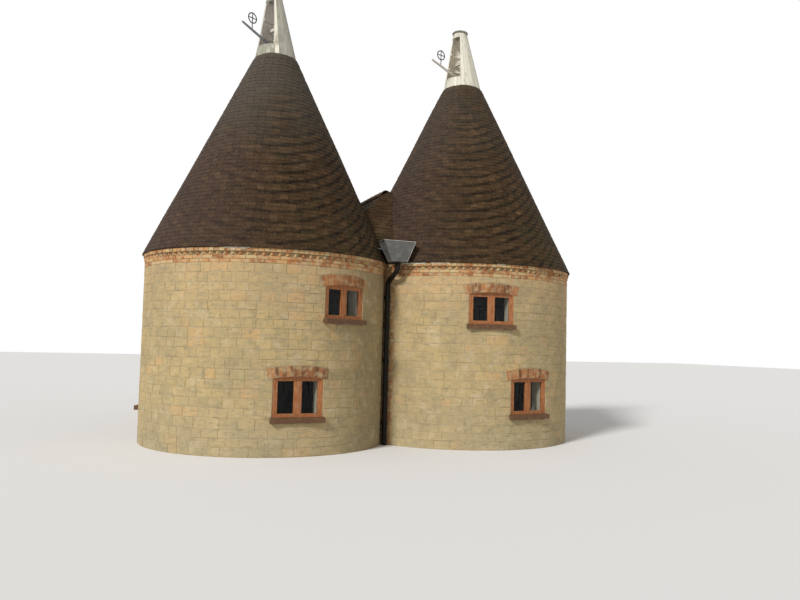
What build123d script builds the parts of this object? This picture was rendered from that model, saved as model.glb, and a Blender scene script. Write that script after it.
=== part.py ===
from build123d import *
import os
from math import acos, asin, cos, degrees, radians, sin, sqrt, tan

# Twin round kilns in front of a gabled store. Millimetres, +Z up. The origin lies on the
# ground midway between the two kiln centres. -Y is the front and the store stands at +Y.

# Kiln walls
kiln_radius = 2750.0  # outer face of the stone
kiln_wall = 450.0
party_thickness = 540.0  # waist of the wall that both kilns share
stone_cover = 130.0  # stone over the upper arches
joint_margin = 3.0  # degrees of plain wall past an arch or the shared wall
course_height = 75.0  # one brick and its joint
band_courses = 4  # brick courses over the stone
dentil_projection = 22.0
cornice_projection = 38.0

# Cone roofs
tile_overhang = 58.0  # tile edge past the stone face
roof_half_angle = 25.55  # between the slope and the upright
roof_top_radius = 518.0  # tiles' edge under the cowl
roof_shell = 160.0  # tiles, battens and rafters, square to the slope

# Floors and doorways
ground_slab = 100.0
upper_floor_top = 2200.0
floor_boards = 30.0
joist_width = 75.0
joist_depth = 150.0
joist_pitch = 600.0
doorway_width = 850.0
doorway_lintel = 220.0  # stone between a lower doorway and the upper floor
doorway_angle = 56.0  # from the line between the kilns
fit_gap = 0.3  # round pieces stand this far off their seats

# Windows
window_width = 1050.0
sill_thickness = 110.0
sill_horn = 35.0
sill_nose = 65.0
sill_tail = 130.0
sill_fall = 15.0
soffit_rise = 45.0
arch_brick = 215.0
arch_bearing = 86.0  # soffit past the opening on each side
arch_proud = 6.0
frame_setback = 60.0
frame_depth = 70.0
frame_member = 55.0
frame_foot = 30.0
mullion = 60.0
head_cover = 10.0  # frame left between a light and the springing
casement_setback = 10.0
casement_depth = 45.0
casement_stile = 52.0
casement_rail = 42.0
glass_thickness = 6.0
lower_window_height = 815.0  # sill top to crown
upper_window_height = 705.0
lower_sill_height = 685.0  # above the paving
upper_sill_height = 590.0  # above the boards
left_lower_angle = 273.0  # 0 faces the other kiln, 90 the rear, 270 the front
left_upper_angle = 294.8
right_lower_angle = 258.5
right_upper_angle = 279.8
side_lower_angle = 160.0
side_upper_angle = 139.0

# Cowls
cowl_setback = 25.0  # skirt inside the tiles' top edge
cowl_top_radius = 180.0
cowl_height = 1530.0  # skirt to cap
cowl_gap = 20.0  # under the skirt
cowl_board = 28.0
cowl_lean = 115.0  # top centre towards the vane
cowl_skirt = 280.0  # closed boarding below the opening
cowl_hood = 130.0  # closed boarding above the opening
cowl_opening_angle = 96.0  # towards the vane, which trails downwind
cap_thickness = 45.0
cap_overhang = 22.0
curb_clearance = 15.0
curb_height = 140.0
post_size = 100.0
post_rise = 1000.0  # post head above the skirt
spider_bar = 50.0
spider_depth = 70.0
spider_rise = 40.0  # lower bars over the curb
upper_spider_drop = 220.0  # upper bars below the post head
beam_size = 150.0
beam_drop = 480.0  # beam top below the roof top
pintle_radius = 25.0
pintle_height = 80.0
pintle_clearance = 0.08
bore_spare = 6.0
left_vane_direction = 210.0  # degrees from +X
right_vane_direction = 196.0
vane_reach = 1050.0
vane_root_rise = 300.0  # above the skirt
vane_tip_rise = 630.0
vane_depth = 70.0
vane_tip_depth = 34.0
vane_thickness = 36.0
emblem_thickness = 8.0
emblem_place = 0.72  # along the arm
emblem_stem = 110.0
emblem_radius = 130.0
emblem_ring = 26.0
emblem_bar = 20.0

# Store behind the kilns
store_axis_x = 450.0
store_inset = 350.0  # half the store's width is this much less than the kiln radius
store_wall = 400.0
store_rear = 9000.0  # outer face of the rear wall
store_cover = 170.0  # wall over the upper arches
store_pitch = 40.0
store_roof = 150.0  # square to the slope
store_eaves = 180.0  # overhang beyond the wall, level
store_verge = 80.0
hip_pitch = 52.0
hip_foot_rise = 560.0  # above the kiln eaves
hip_stand = 444.0  # behind the hopper
ridge_cap_radius = 130.0
ridge_cap_wall = 18.0
ridge_cap_drop = 60.0
store_window_places = (0.27, 0.73)  # along the walls from the kilns to the rear wall
rear_window_offset = 1500.0
door_width = 1050.0
door_height = 2000.0
door_frame_member = 80.0
door_frame_depth = 100.0
door_setback = 90.0
door_boards = 28.0
ledge_height = 150.0
ledge_thickness = 30.0
ledge_places = (0.14, 0.5, 0.86)

# Rainwater goods
hopper_top_width = 760.0
hopper_base_width = 365.0
hopper_depth = 350.0
hopper_base_depth = 240.0
hopper_stand = 43.0  # base corner off the tile edge
hopper_centre_x = 60.0
hopper_drop = 5.0  # base below the eaves
hopper_height = 475.0
hopper_wall = 12.0
gutter_rise = 310.0  # above the eaves
gutter_sole = 25.0
gutter_length = 930.0
pipe_radius = 55.0
pipe_wall = 6.0
pipe_x = 10.0
pipe_stand = 30.0  # off the stone
pipe_bend = 120.0
offset_drop = 440.0  # below the eaves, where the pipe leaves the wall for the hopper
offset_rise = 260.0
bracket_height = 60.0
bracket_wall = 12.0
bracket_spur = 40.0
bracket_places = (0.12, 0.51, 0.9)  # along the upright pipe

# Worked out
half_spacing = kiln_radius - party_thickness / 2
kiln_inner = kiln_radius - kiln_wall
lower_sill_top = ground_slab + lower_sill_height
upper_sill_top = upper_floor_top + upper_sill_height
upper_arch_top = upper_sill_top + upper_window_height + arch_brick
stone_head = upper_arch_top + stone_cover
eaves_height = stone_head + band_courses * course_height
eaves_radius = kiln_radius + tile_overhang
cone_slope = tan(radians(roof_half_angle))
shell_across = roof_shell / cos(radians(roof_half_angle))
roof_top = eaves_height + (eaves_radius - roof_top_radius) / cone_slope
roof_throat = roof_top_radius - shell_across
party_angle = degrees(acos(half_spacing / kiln_radius)) + joint_margin
doorway_half = degrees(asin(doorway_width / 2 / kiln_inner))
floor_underside = upper_floor_top - floor_boards
doorway_height = floor_underside - doorway_lintel
soffit_radius = ((window_width / 2) ** 2 + soffit_rise**2) / (2 * soffit_rise)
arch_half = degrees(asin((window_width / 2 + arch_bearing) / soffit_radius))
arch_reach = (soffit_radius + arch_brick) * sin(radians(arch_half))
arch_span = degrees(asin(arch_reach / kiln_radius))
rear_wall_angle = side_upper_angle - arch_span - joint_margin
side_wall_angle = side_lower_angle + arch_span + joint_margin
light_width = (window_width - 2 * frame_member - mullion) / 2
store_half_width = kiln_radius - store_inset
store_left = store_axis_x - store_half_width
store_right = store_axis_x + store_half_width
store_meet = sqrt(kiln_radius**2 - (half_spacing + store_left) ** 2)
store_inner_rear = store_rear - store_wall
store_slope = tan(radians(store_pitch))
store_roof_upright = store_roof / cos(radians(store_pitch))
store_head = upper_arch_top + store_cover
ridge_height = store_head + store_half_width * store_slope + store_roof_upright
rear_joint = rear_window_offset / 2
hopper_corner = half_spacing - hopper_centre_x - hopper_base_width / 2
hopper_front = -sqrt(eaves_radius**2 - hopper_corner**2) - hopper_stand - hopper_base_depth
hopper_y = hopper_front + hopper_depth / 2
hopper_base_y = hopper_front + hopper_base_depth / 2
hopper_base = eaves_height - hopper_drop
gutter_front = hopper_front + hopper_depth
gutter_top = eaves_height + gutter_rise
hip_slope = tan(radians(hip_pitch))
hip_foot = gutter_front + hip_stand
hip_foot_height = eaves_height + hip_foot_rise
ridge_front = hip_foot + (ridge_height - hip_foot_height) / hip_slope
eaves_reach = store_half_width + store_eaves
pipe_off = kiln_radius + pipe_radius + pipe_stand  # pipe centre from the nearer kiln's centre
pipe_y = -sqrt(pipe_off**2 - (half_spacing - pipe_x) ** 2)
offset_foot = eaves_height - offset_drop
beam_top = roof_top - beam_drop
cowl_base = roof_top + cowl_gap
cowl_top = cowl_base + cowl_height
cowl_base_radius = roof_top_radius - cowl_setback
cowl_draw = (cowl_base_radius - cowl_top_radius + cowl_lean) / cowl_height
curb_lap = curb_height - cowl_gap
curb_radius = cowl_base_radius - cowl_board - curb_clearance - cowl_draw * curb_lap
lower_spider = roof_top + curb_height + spider_rise
post_top = cowl_base + post_rise
vane_root_height = cowl_base + vane_root_rise
vane_fall = (vane_tip_rise - vane_root_rise) / vane_reach
vane_tip_height = cowl_base + vane_tip_rise
kiln_sides = {"left": -1, "right": 1}
vane_directions = {"left": left_vane_direction, "right": right_vane_direction}
front_windows = {
    "left": (left_lower_angle, left_upper_angle),
    "right": (right_lower_angle, right_upper_angle),
}

os.makedirs("parts", exist_ok=True)


def save(piece, name):
    piece.part.label = name
    export_step(piece.part, "parts/" + name + ".step")


def kiln_centre(side):
    return (kiln_sides[side] * half_spacing, 0)


def true_angle(side, angle):
    # Kiln angles mirror from side to side, so 0 always faces the other kiln.
    return angle if side == "left" else 180 - angle


def ring_sector(side, inner, outer, start, end):
    # Adds the plan of one stretch of a round wall to the open sketch.
    first = min(true_angle(side, start), true_angle(side, end))
    with BuildLine() as outline:
        outside = CenterArc(kiln_centre(side), outer, first, end - start)
        inside = CenterArc(kiln_centre(side), inner, first, end - start)
        Line(outside @ 0, inside @ 0)
        Line(outside @ 1, inside @ 1)
    make_face(outline.edges())


def kiln_section(side):
    # Upright plane through the kiln's axis, X outwards from the axis, Y up.
    return Plane(origin=(*kiln_centre(side), 0), x_dir=(1, 0, 0), z_dir=(0, -1, 0))


def kiln_axis(side):
    return Axis((*kiln_centre(side), 0), (0, 0, 1))


def kiln_face(side, angle):
    # Upright plane touching the kiln's outer face, X along the wall, Y up, Z outwards.
    turn = radians(true_angle(side, angle))
    x, y = kiln_centre(side)
    return Plane(
        origin=(x + kiln_radius * cos(turn), y + kiln_radius * sin(turn), 0),
        x_dir=(-sin(turn), cos(turn), 0),
        z_dir=(cos(turn), sin(turn), 0),
    )


def opening_outline(width, bottom, crown):
    # Adds an opening with a low arched head to the open sketch.
    spring = crown - soffit_rise
    with BuildLine() as outline:
        Polyline((-width / 2, spring), (-width / 2, bottom), (width / 2, bottom), (width / 2, spring))
        ThreePointArc((width / 2, spring), (0, crown), (-width / 2, spring))
    make_face(outline.edges())


def arch_outline(crown):
    # Adds the face of a brick arch that springs outside the opening.
    arch_centre = (0, crown - soffit_radius)
    with BuildLine() as outline:
        above = CenterArc(arch_centre, soffit_radius + arch_brick, 90 - arch_half, 2 * arch_half)
        below = CenterArc(arch_centre, soffit_radius, 90 - arch_half, 2 * arch_half)
        Line(above @ 0, below @ 0)
        Line(above @ 1, below @ 1)
    make_face(outline.edges())


def light_centres():
    return [(-(light_width + mullion) / 2), (light_width + mullion) / 2]


# Each window is its face plane, the height of its sill top and of its crown.
def window_at(face, storey):
    if storey == "lower":
        return face, lower_sill_top, lower_sill_top + lower_window_height
    return face, upper_sill_top, upper_sill_top + upper_window_height


kiln_windows = {}
for side, (lower, upper) in front_windows.items():
    kiln_windows[side] = {
        "front": [
            window_at(kiln_face(side, lower), "lower"),
            window_at(kiln_face(side, upper), "upper"),
        ],
        "side": [
            window_at(kiln_face(side, side_lower_angle), "lower"),
            window_at(kiln_face(side, side_upper_angle), "upper"),
        ],
    }


def store_face(x, y, direction):
    # Upright plane on a flat wall of the store.
    turn = radians(direction)
    return Plane(origin=(x, y, 0), x_dir=(-sin(turn), cos(turn), 0), z_dir=(cos(turn), sin(turn), 0))


store_windows = {"left": [], "right": []}
for place in store_window_places:
    y = store_meet + place * (store_inner_rear - store_meet)
    for storey in ("lower", "upper"):
        store_windows["left"].append(window_at(store_face(store_left, y, 180), storey))
        store_windows["right"].append(window_at(store_face(store_right, y, 0), storey))
door_face = store_face(store_axis_x, store_rear, 90)
rear_windows = {
    "left": [window_at(store_face(store_axis_x - rear_window_offset, store_rear, 90), "lower")],
    "middle": [window_at(door_face, "upper")],
    "right": [window_at(store_face(store_axis_x + rear_window_offset, store_rear, 90), "lower")],
}

kiln_window_list = [w for side in kiln_windows.values() for group in side.values() for w in group]
store_walls = (store_windows, rear_windows)
store_window_list = [w for walls in store_walls for group in walls.values() for w in group]
all_windows = kiln_window_list + store_window_list


def cut_windows(windows, depth):
    # Cuts each opening and its sill pocket through the wall being built.
    for face, sill_top, crown in windows:
        with BuildSketch(face.offset(depth / 2)) as opening:
            opening_outline(window_width, sill_top, crown)
        extrude(opening.sketch, amount=-2 * depth, mode=Mode.SUBTRACT)
        with BuildSketch(face.offset(sill_nose)) as pocket:
            with Locations((0, sill_top - sill_thickness / 2)):
                Rectangle(window_width + 2 * sill_horn, sill_thickness)
        extrude(pocket.sketch, amount=-(sill_nose + sill_tail), mode=Mode.SUBTRACT)


# Brick arches over the windows, cut to the curve of each wall
with BuildPart() as kiln_arches:
    for face, sill_top, crown in kiln_window_list:
        with BuildSketch(face.offset(kiln_wall / 4)):
            arch_outline(crown)
        extrude(amount=-(kiln_wall / 4 + arch_brick))
    with BuildSketch():
        for side in kiln_sides:
            with Locations(kiln_centre(side)):
                Circle(kiln_radius + arch_proud)
    extrude(amount=eaves_height, mode=Mode.INTERSECT)

with BuildPart() as window_arches:
    add(kiln_arches.part)
    for face, crown in [(w[0], w[2]) for w in store_window_list] + [(door_face, door_height)]:
        with BuildSketch(face.offset(arch_proud)):
            arch_outline(crown)
        extrude(amount=-(arch_proud + arch_brick))
save(window_arches, "window_arches")

# Sills with horns, their tops falling outwards
with BuildPart() as window_sills:
    for face, sill_top, crown in all_windows:
        run = Plane(origin=face.origin, x_dir=face.z_dir, z_dir=-face.x_dir)
        with BuildSketch(run):
            with BuildLine():
                Polyline(
                    (-sill_tail, sill_top - sill_thickness),
                    (sill_nose, sill_top - sill_thickness),
                    (sill_nose, sill_top - sill_fall),
                    (-frame_setback, sill_top),
                    (-sill_tail, sill_top),
                    close=True,
                )
            make_face()
        extrude(amount=window_width / 2 + sill_horn, both=True)
save(window_sills, "window_sills")

# Window frames, two lights each
with BuildPart() as window_frames:
    for face, sill_top, crown in all_windows:
        light_bottom = sill_top + frame_foot
        light_top = crown - soffit_rise - head_cover
        with BuildSketch(face.offset(-frame_setback)):
            opening_outline(window_width, sill_top, crown)
            with Locations(*[(x, (light_bottom + light_top) / 2) for x in light_centres()]):
                Rectangle(light_width, light_top - light_bottom, mode=Mode.SUBTRACT)
        extrude(amount=-frame_depth)
save(window_frames, "window_frames")

with BuildPart() as casements:
    for face, sill_top, crown in all_windows:
        light_bottom = sill_top + frame_foot
        light_top = crown - soffit_rise - head_cover
        middle = (light_bottom + light_top) / 2
        with BuildSketch(face.offset(-frame_setback - casement_setback)):
            with Locations(*[(x, middle) for x in light_centres()]):
                Rectangle(light_width, light_top - light_bottom)
                Rectangle(
                    light_width - 2 * casement_stile,
                    light_top - light_bottom - 2 * casement_rail,
                    mode=Mode.SUBTRACT,
                )
        extrude(amount=-casement_depth)
save(casements, "casements")

with BuildPart() as window_glass:
    for face, sill_top, crown in all_windows:
        light_bottom = sill_top + frame_foot
        light_top = crown - soffit_rise - head_cover
        glass_face = frame_setback + casement_setback + casement_depth / 2
        with BuildSketch(face.offset(-glass_face)):
            with Locations(*[(x, (light_bottom + light_top) / 2) for x in light_centres()]):
                Rectangle(
                    light_width - 2 * casement_stile,
                    light_top - light_bottom - 2 * casement_rail,
                )
        extrude(amount=-glass_thickness)
save(window_glass, "window_glass")

# Round walls in stretches, with one shared wall where the rings meet
with BuildPart() as party_wall:
    with BuildSketch():
        for side in kiln_sides:
            ring_sector(side, kiln_inner, kiln_radius, -party_angle, party_angle)
        for side in kiln_sides:
            with Locations(kiln_centre(side)):
                Circle(kiln_inner, mode=Mode.SUBTRACT)
    extrude(amount=stone_head)
save(party_wall, "party_wall")

with BuildPart() as rear_piers:
    with BuildSketch():
        for side in kiln_sides:
            ring_sector(side, kiln_inner, kiln_radius, party_angle, doorway_angle - doorway_half)
    extrude(amount=stone_head)
save(rear_piers, "rear_piers")

with BuildPart() as doorway_heads:
    with BuildSketch(Plane.XY.offset(doorway_height)):
        for side in kiln_sides:
            ring_sector(
                side, kiln_inner, kiln_radius, doorway_angle - doorway_half, doorway_angle + doorway_half
            )
    extrude(amount=floor_underside - doorway_height)
save(doorway_heads, "doorway_heads")

for side in kiln_sides:
    front_start = min(front_windows[side]) - arch_span - joint_margin
    stretches = {
        "rear": (doorway_angle + doorway_half, rear_wall_angle, []),
        "side": (rear_wall_angle, side_wall_angle, kiln_windows[side]["side"]),
        "outer": (side_wall_angle, front_start, []),
        "front": (front_start, 360 - party_angle, kiln_windows[side]["front"]),
    }
    for name, (start, end, windows) in stretches.items():
        with BuildPart() as wall:
            with BuildSketch():
                ring_sector(side, kiln_inner, kiln_radius, start, end)
            extrude(amount=stone_head)
            if windows:
                cut_windows(windows, kiln_wall)
                add(kiln_arches.part, mode=Mode.SUBTRACT)
        save(wall, side + "_kiln_" + name + "_wall")

# Brick eaves bands: two plain courses, dentils and a cornice
for side, sign in kiln_sides.items():
    with BuildPart() as band:
        with BuildSketch(kiln_section(side)):
            with Locations((kiln_inner, stone_head)):
                Rectangle(kiln_wall, band_courses * course_height, align=Align.MIN)
            with Locations((kiln_radius, eaves_height - 2 * course_height)):
                Rectangle(dentil_projection, course_height, align=Align.MIN)
            with Locations((kiln_radius, eaves_height - course_height)):
                Rectangle(cornice_projection, course_height, align=Align.MIN)
        revolve(axis=kiln_axis(side))
        split(bisect_by=Plane.YZ, keep=Keep.BOTTOM if sign < 0 else Keep.TOP)
    save(band, side + "_eaves_band")

# Cone roofs, cut where they meet over the party wall
for side, sign in kiln_sides.items():
    with BuildPart() as cone:
        with BuildSketch(kiln_section(side)):
            with BuildLine():
                Polyline(
                    (eaves_radius, eaves_height),
                    (roof_top_radius, roof_top),
                    (roof_throat, roof_top),
                    (eaves_radius - shell_across, eaves_height),
                    close=True,
                )
            make_face()
        revolve(axis=kiln_axis(side))
        split(bisect_by=Plane.YZ, keep=Keep.BOTTOM if sign < 0 else Keep.TOP)
    save(cone, side + "_cone_roof")

# Fixed curb rings that the cowls turn over, with a beam and pintle under each
with BuildPart() as cowl_curbs:
    for side in kiln_sides:
        with BuildSketch(Plane.XY.offset(roof_top)):
            with Locations(kiln_centre(side)):
                Circle(curb_radius)
                Circle(roof_throat, mode=Mode.SUBTRACT)
        extrude(amount=curb_height)
save(cowl_curbs, "cowl_curbs")

with BuildPart() as roof_voids:
    for side in kiln_sides:
        with Locations((*kiln_centre(side), (eaves_height + roof_top) / 2)):
            Cone(eaves_radius - shell_across - fit_gap, roof_throat - fit_gap, roof_top - eaves_height)

with BuildPart() as bearing_beams:
    for side in kiln_sides:
        x, y = kiln_centre(side)
        with Locations((x, y, beam_top - beam_size / 2)):
            Box(2 * eaves_radius, beam_size, beam_size)
        with Locations((x, y, beam_top)):
            Cylinder(pintle_radius, pintle_height, align=(Align.CENTER, Align.CENTER, Align.MIN))
    add(roof_voids.part, mode=Mode.INTERSECT)
save(bearing_beams, "bearing_beams")

# The solid mass of both kilns, a hair larger, that trims whatever is built against them
with BuildPart() as kiln_masses:
    cornice = kiln_radius + cornice_projection + fit_gap
    for side in kiln_sides:
        with BuildSketch(kiln_section(side)):
            with BuildLine():
                Polyline(
                    (0, 0),
                    (kiln_radius + fit_gap, 0),
                    (kiln_radius + fit_gap, eaves_height - 2 * course_height),
                    (cornice, eaves_height - 2 * course_height),
                    (cornice, eaves_height),
                    (eaves_radius + fit_gap, eaves_height),
                    (0, eaves_height + (eaves_radius + fit_gap) / cone_slope),
                    close=True,
                )
            make_face()
        revolve(axis=kiln_axis(side))


# Plans of the rooms, and of the floors with their thresholds
with BuildSketch() as store_room:
    with Locations((store_left + store_wall, 0)):
        Rectangle(2 * (store_half_width - store_wall), store_inner_rear, align=Align.MIN)
    for side in kiln_sides:
        with Locations(kiln_centre(side)):
            Circle(kiln_radius + fit_gap, mode=Mode.SUBTRACT)

with BuildSketch() as rooms:
    add(store_room.sketch)
    for side in kiln_sides:
        with Locations(kiln_centre(side)):
            Circle(kiln_inner - fit_gap)

with BuildSketch() as floor_plan:
    add(rooms.sketch)
    for side in kiln_sides:
        ring_sector(
            side,
            kiln_inner - kiln_wall,
            kiln_radius + 2 * fit_gap,
            doorway_angle - doorway_half,
            doorway_angle + doorway_half,
        )

with BuildPart() as ground_floor:
    with BuildSketch():
        add(floor_plan.sketch)
        with Locations((store_axis_x, store_inner_rear)):
            Rectangle(door_width, store_wall, align=(Align.CENTER, Align.MIN))
    extrude(amount=ground_slab)
save(ground_floor, "ground_floor")

with BuildPart() as upper_floor:
    with BuildSketch(Plane.XY.offset(floor_underside)):
        add(floor_plan.sketch)
    extrude(amount=floor_boards)
save(upper_floor, "upper_floor")

with BuildPart() as floor_joists:
    with BuildSketch(Plane.XY.offset(floor_underside - joist_depth)):
        with Locations((0, store_inner_rear / 2 - kiln_inner / 2)):
            with GridLocations(1, joist_pitch, 1, 1 + int((store_inner_rear + kiln_inner) / joist_pitch)):
                Rectangle(2 * (half_spacing + kiln_radius), joist_width)
        add(rooms.sketch, mode=Mode.INTERSECT)
    extrude(amount=joist_depth)
save(floor_joists, "floor_joists")


# Store walls, rising to the underside of the roof
def under_store_roof():
    # Adds the store's cross section up to the roof's underside to the open sketch.
    crest = ridge_height - store_roof_upright
    edge = crest - store_half_width * store_slope
    with BuildLine() as outline:
        Polyline(
            (store_left, 0), (store_right, 0), (store_right, edge),
            (store_axis_x, crest), (store_left, edge), close=True,
        )
    make_face(outline.edges())


with BuildPart() as store_mass:
    with BuildSketch(Plane.XZ):
        under_store_roof()
    extrude(amount=-store_rear)
    add(kiln_masses.part, mode=Mode.SUBTRACT)

for name, edge in (("left", store_left), ("right", store_right - store_wall)):
    with BuildPart() as wall:
        with BuildSketch():
            with Locations((edge, 0)):
                Rectangle(store_wall, store_inner_rear, align=Align.MIN)
        extrude(amount=ridge_height)
        add(store_mass.part, mode=Mode.INTERSECT)
        cut_windows(store_windows[name], store_wall)
        add(window_arches.part, mode=Mode.SUBTRACT)
    save(wall, "store_" + name + "_wall")

rear_joints = (store_left, store_axis_x - rear_joint, store_axis_x + rear_joint, store_right)
rear_names = ("left", "middle", "right")
for name, start, end in zip(rear_names, rear_joints, rear_joints[1:]):
    with BuildPart() as wall:
        with BuildSketch():
            with Locations((start, store_inner_rear)):
                Rectangle(end - start, store_wall, align=Align.MIN)
        extrude(amount=ridge_height)
        add(store_mass.part, mode=Mode.INTERSECT)
        cut_windows(rear_windows[name], store_wall)
        if name == "middle":
            with BuildSketch(door_face.offset(store_wall / 2)):
                opening_outline(door_width, 0, door_height)
            extrude(amount=-2 * store_wall, mode=Mode.SUBTRACT)
        add(window_arches.part, mode=Mode.SUBTRACT)
    save(wall, "store_rear_" + name + "_wall")

# Plank door on ledges, fixed shut in its frame
with BuildPart() as store_door_frame:
    with BuildSketch(door_face.offset(-door_setback)):
        opening_outline(door_width, ground_slab, door_height)
        with Locations((0, ground_slab)):
            Rectangle(
                door_width - 2 * door_frame_member,
                door_height - soffit_rise - head_cover - ground_slab,
                align=(Align.CENTER, Align.MIN),
                mode=Mode.SUBTRACT,
            )
    extrude(amount=-door_frame_depth)
save(store_door_frame, "store_door_frame")

leaf_width = door_width - 2 * door_frame_member
leaf_height = door_height - soffit_rise - head_cover - ground_slab
with BuildPart() as store_door:
    with BuildSketch(door_face.offset(-door_setback - casement_setback)):
        with Locations((0, ground_slab)):
            Rectangle(leaf_width, leaf_height, align=(Align.CENTER, Align.MIN))
    extrude(amount=-door_boards)
    with BuildSketch(door_face.offset(-door_setback - casement_setback - door_boards)):
        with Locations(*[(0, ground_slab + share * leaf_height) for share in ledge_places]):
            Rectangle(leaf_width - 2 * door_frame_member, ledge_height)
    extrude(amount=-ledge_thickness)
save(store_door, "store_door")


# Store roof: two slopes, and a small hip that runs down between the cones
def hip_line(sign):
    # Upright plane through the hip on one side, facing the side slope.
    across = (sign * store_slope, hip_slope, 0)
    return Plane(origin=(store_axis_x, ridge_front, 0), x_dir=(0, 0, 1), z_dir=across)


store_slopes = []
for name, sign in (("left", -1), ("right", 1)):
    with BuildPart() as slope:
        with BuildSketch(Plane.XZ.offset(-hip_foot)):
            with BuildLine():
                edge_x = store_axis_x + sign * eaves_reach
                edge_z = ridge_height - eaves_reach * store_slope
                Polyline(
                    (store_axis_x, ridge_height),
                    (edge_x, edge_z),
                    (edge_x, edge_z - store_roof_upright),
                    (store_axis_x, ridge_height - store_roof_upright),
                    close=True,
                )
            make_face()
        extrude(amount=hip_foot - store_rear - store_verge)
        split(bisect_by=hip_line(sign), keep=Keep.TOP)
        add(kiln_masses.part, mode=Mode.SUBTRACT)
    store_slopes.append(slope.part)
    save(slope, "store_roof_" + name)

with BuildPart() as store_hip:
    hip_upright = store_roof / cos(radians(hip_pitch))
    with BuildSketch(Plane.YZ.offset(store_axis_x)):
        with BuildLine():
            Polyline(
                (ridge_front, ridge_height),
                (hip_foot, hip_foot_height),
                (hip_foot, hip_foot_height - hip_upright),
                (ridge_front, ridge_height - hip_upright),
                close=True,
            )
        make_face()
    extrude(amount=half_spacing, both=True)
    for sign in (-1, 1):
        split(bisect_by=hip_line(sign), keep=Keep.BOTTOM)
    add(kiln_masses.part, mode=Mode.SUBTRACT)
save(store_hip, "store_roof_hip")

with BuildPart() as ridge_tiles:
    with BuildSketch(Plane.XZ.offset(-ridge_front)):
        with Locations((store_axis_x, ridge_height - ridge_cap_drop)):
            Circle(ridge_cap_radius)
            Circle(ridge_cap_radius - ridge_cap_wall, mode=Mode.SUBTRACT)
            with Locations((0, -ridge_cap_radius)):
                Rectangle(
                    2 * ridge_cap_radius, ridge_cap_radius + ridge_cap_drop / 2,
                    align=(Align.CENTER, Align.CENTER), mode=Mode.SUBTRACT,
                )
    extrude(amount=ridge_front - store_rear - store_verge)
    add([kiln_masses.part, store_hip.part, *store_slopes], mode=Mode.SUBTRACT)
save(ridge_tiles, "store_ridge_tiles")

# Lead gutter from the valley between the cones, hopper head and downpipe
with BuildPart() as valley_gutter:
    with BuildSketch(Plane.XY.offset(gutter_top - gutter_sole)):
        with Locations((0, gutter_front)):
            Rectangle(2 * hopper_top_width, gutter_length, align=(Align.CENTER, Align.MIN))
    extrude(amount=gutter_sole)
    add(kiln_masses.part, mode=Mode.SUBTRACT)
save(valley_gutter, "valley_gutter")

with BuildPart() as hopper_head:
    for inset, mode in ((0, Mode.ADD), (hopper_wall, Mode.SUBTRACT)):
        with BuildSketch(Plane.XY.offset(hopper_base + inset)):
            with Locations((hopper_centre_x, hopper_base_y)):
                Rectangle(hopper_base_width - 2 * inset, hopper_base_depth - 2 * inset)
        with BuildSketch(Plane.XY.offset(hopper_base + hopper_height)):
            with Locations((hopper_centre_x, hopper_y)):
                Rectangle(hopper_top_width - 2 * inset, hopper_depth - 2 * inset)
        loft(mode=mode)
    with Locations((hopper_centre_x, hopper_base_y, hopper_base)):
        Cylinder(pipe_radius - pipe_wall, 4 * hopper_wall, mode=Mode.SUBTRACT)
save(hopper_head, "hopper_head")

with BuildPart() as downpipe:
    with BuildLine() as route:
        FilletPolyline(
            (pipe_x, pipe_y, 0),
            (pipe_x, pipe_y, offset_foot),
            (hopper_centre_x, hopper_base_y, offset_foot + offset_rise),
            (hopper_centre_x, hopper_base_y, hopper_base),
            radius=pipe_bend,
        )
    with BuildSketch():
        with Locations((pipe_x, pipe_y)):
            Circle(pipe_radius)
            Circle(pipe_radius - pipe_wall, mode=Mode.SUBTRACT)
    sweep(path=route.wires()[0])
save(downpipe, "downpipe")

with BuildPart() as pipe_brackets:
    for place in bracket_places:
        with BuildSketch(Plane.XY.offset(place * offset_foot)):
            with Locations((pipe_x, pipe_y)):
                Circle(pipe_radius + fit_gap + bracket_wall)
                Rectangle(bracket_spur, party_thickness, align=(Align.CENTER, Align.MIN))
                Circle(pipe_radius + fit_gap, mode=Mode.SUBTRACT)
        extrude(amount=bracket_height)
    add(kiln_masses.part, mode=Mode.SUBTRACT)
save(pipe_brackets, "pipe_brackets")


# Cowls: leaning boarded shells that turn on a centre post, with a vane on an arm
def vane_plane(side):
    # Upright plane through the cowl's axis, X towards the vane, Y up.
    turn = radians(vane_directions[side])
    x, y = kiln_centre(side)
    return Plane(origin=(x, y, 0), x_dir=(cos(turn), sin(turn), 0), z_dir=(sin(turn), -cos(turn), 0))


def cowl_level(side, height):
    # Level plane on the cowl's axis, X towards the vane.
    turn = radians(vane_directions[side])
    x, y = kiln_centre(side)
    return Plane(origin=(x, y, height), x_dir=(cos(turn), sin(turn), 0))


def arm_outline():
    # Adds the tapering arm, seen from the side, to the open sketch.
    start = post_size / 2
    base = vane_depth / 2
    tip = vane_tip_depth / 2
    with BuildLine() as outline:
        Polyline(
            (start, vane_root_height - base), (vane_reach, vane_tip_height - tip),
            (vane_reach, vane_tip_height + tip), (start, vane_root_height + base), close=True,
        )
    make_face(outline.edges())


def cowl_cone(side, inset):
    # Leaning round taper from the skirt to the cap, drawn in by the inset.
    with BuildPart() as taper:
        with BuildSketch(cowl_level(side, cowl_base)) as foot:
            Circle(cowl_base_radius - inset)
        with BuildSketch(cowl_level(side, cowl_top)) as head:
            with Locations((cowl_lean, 0)):
                Circle(cowl_top_radius - inset)
        loft([foot.sketch.face(), head.sketch.face()])
    return taper.part


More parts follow.
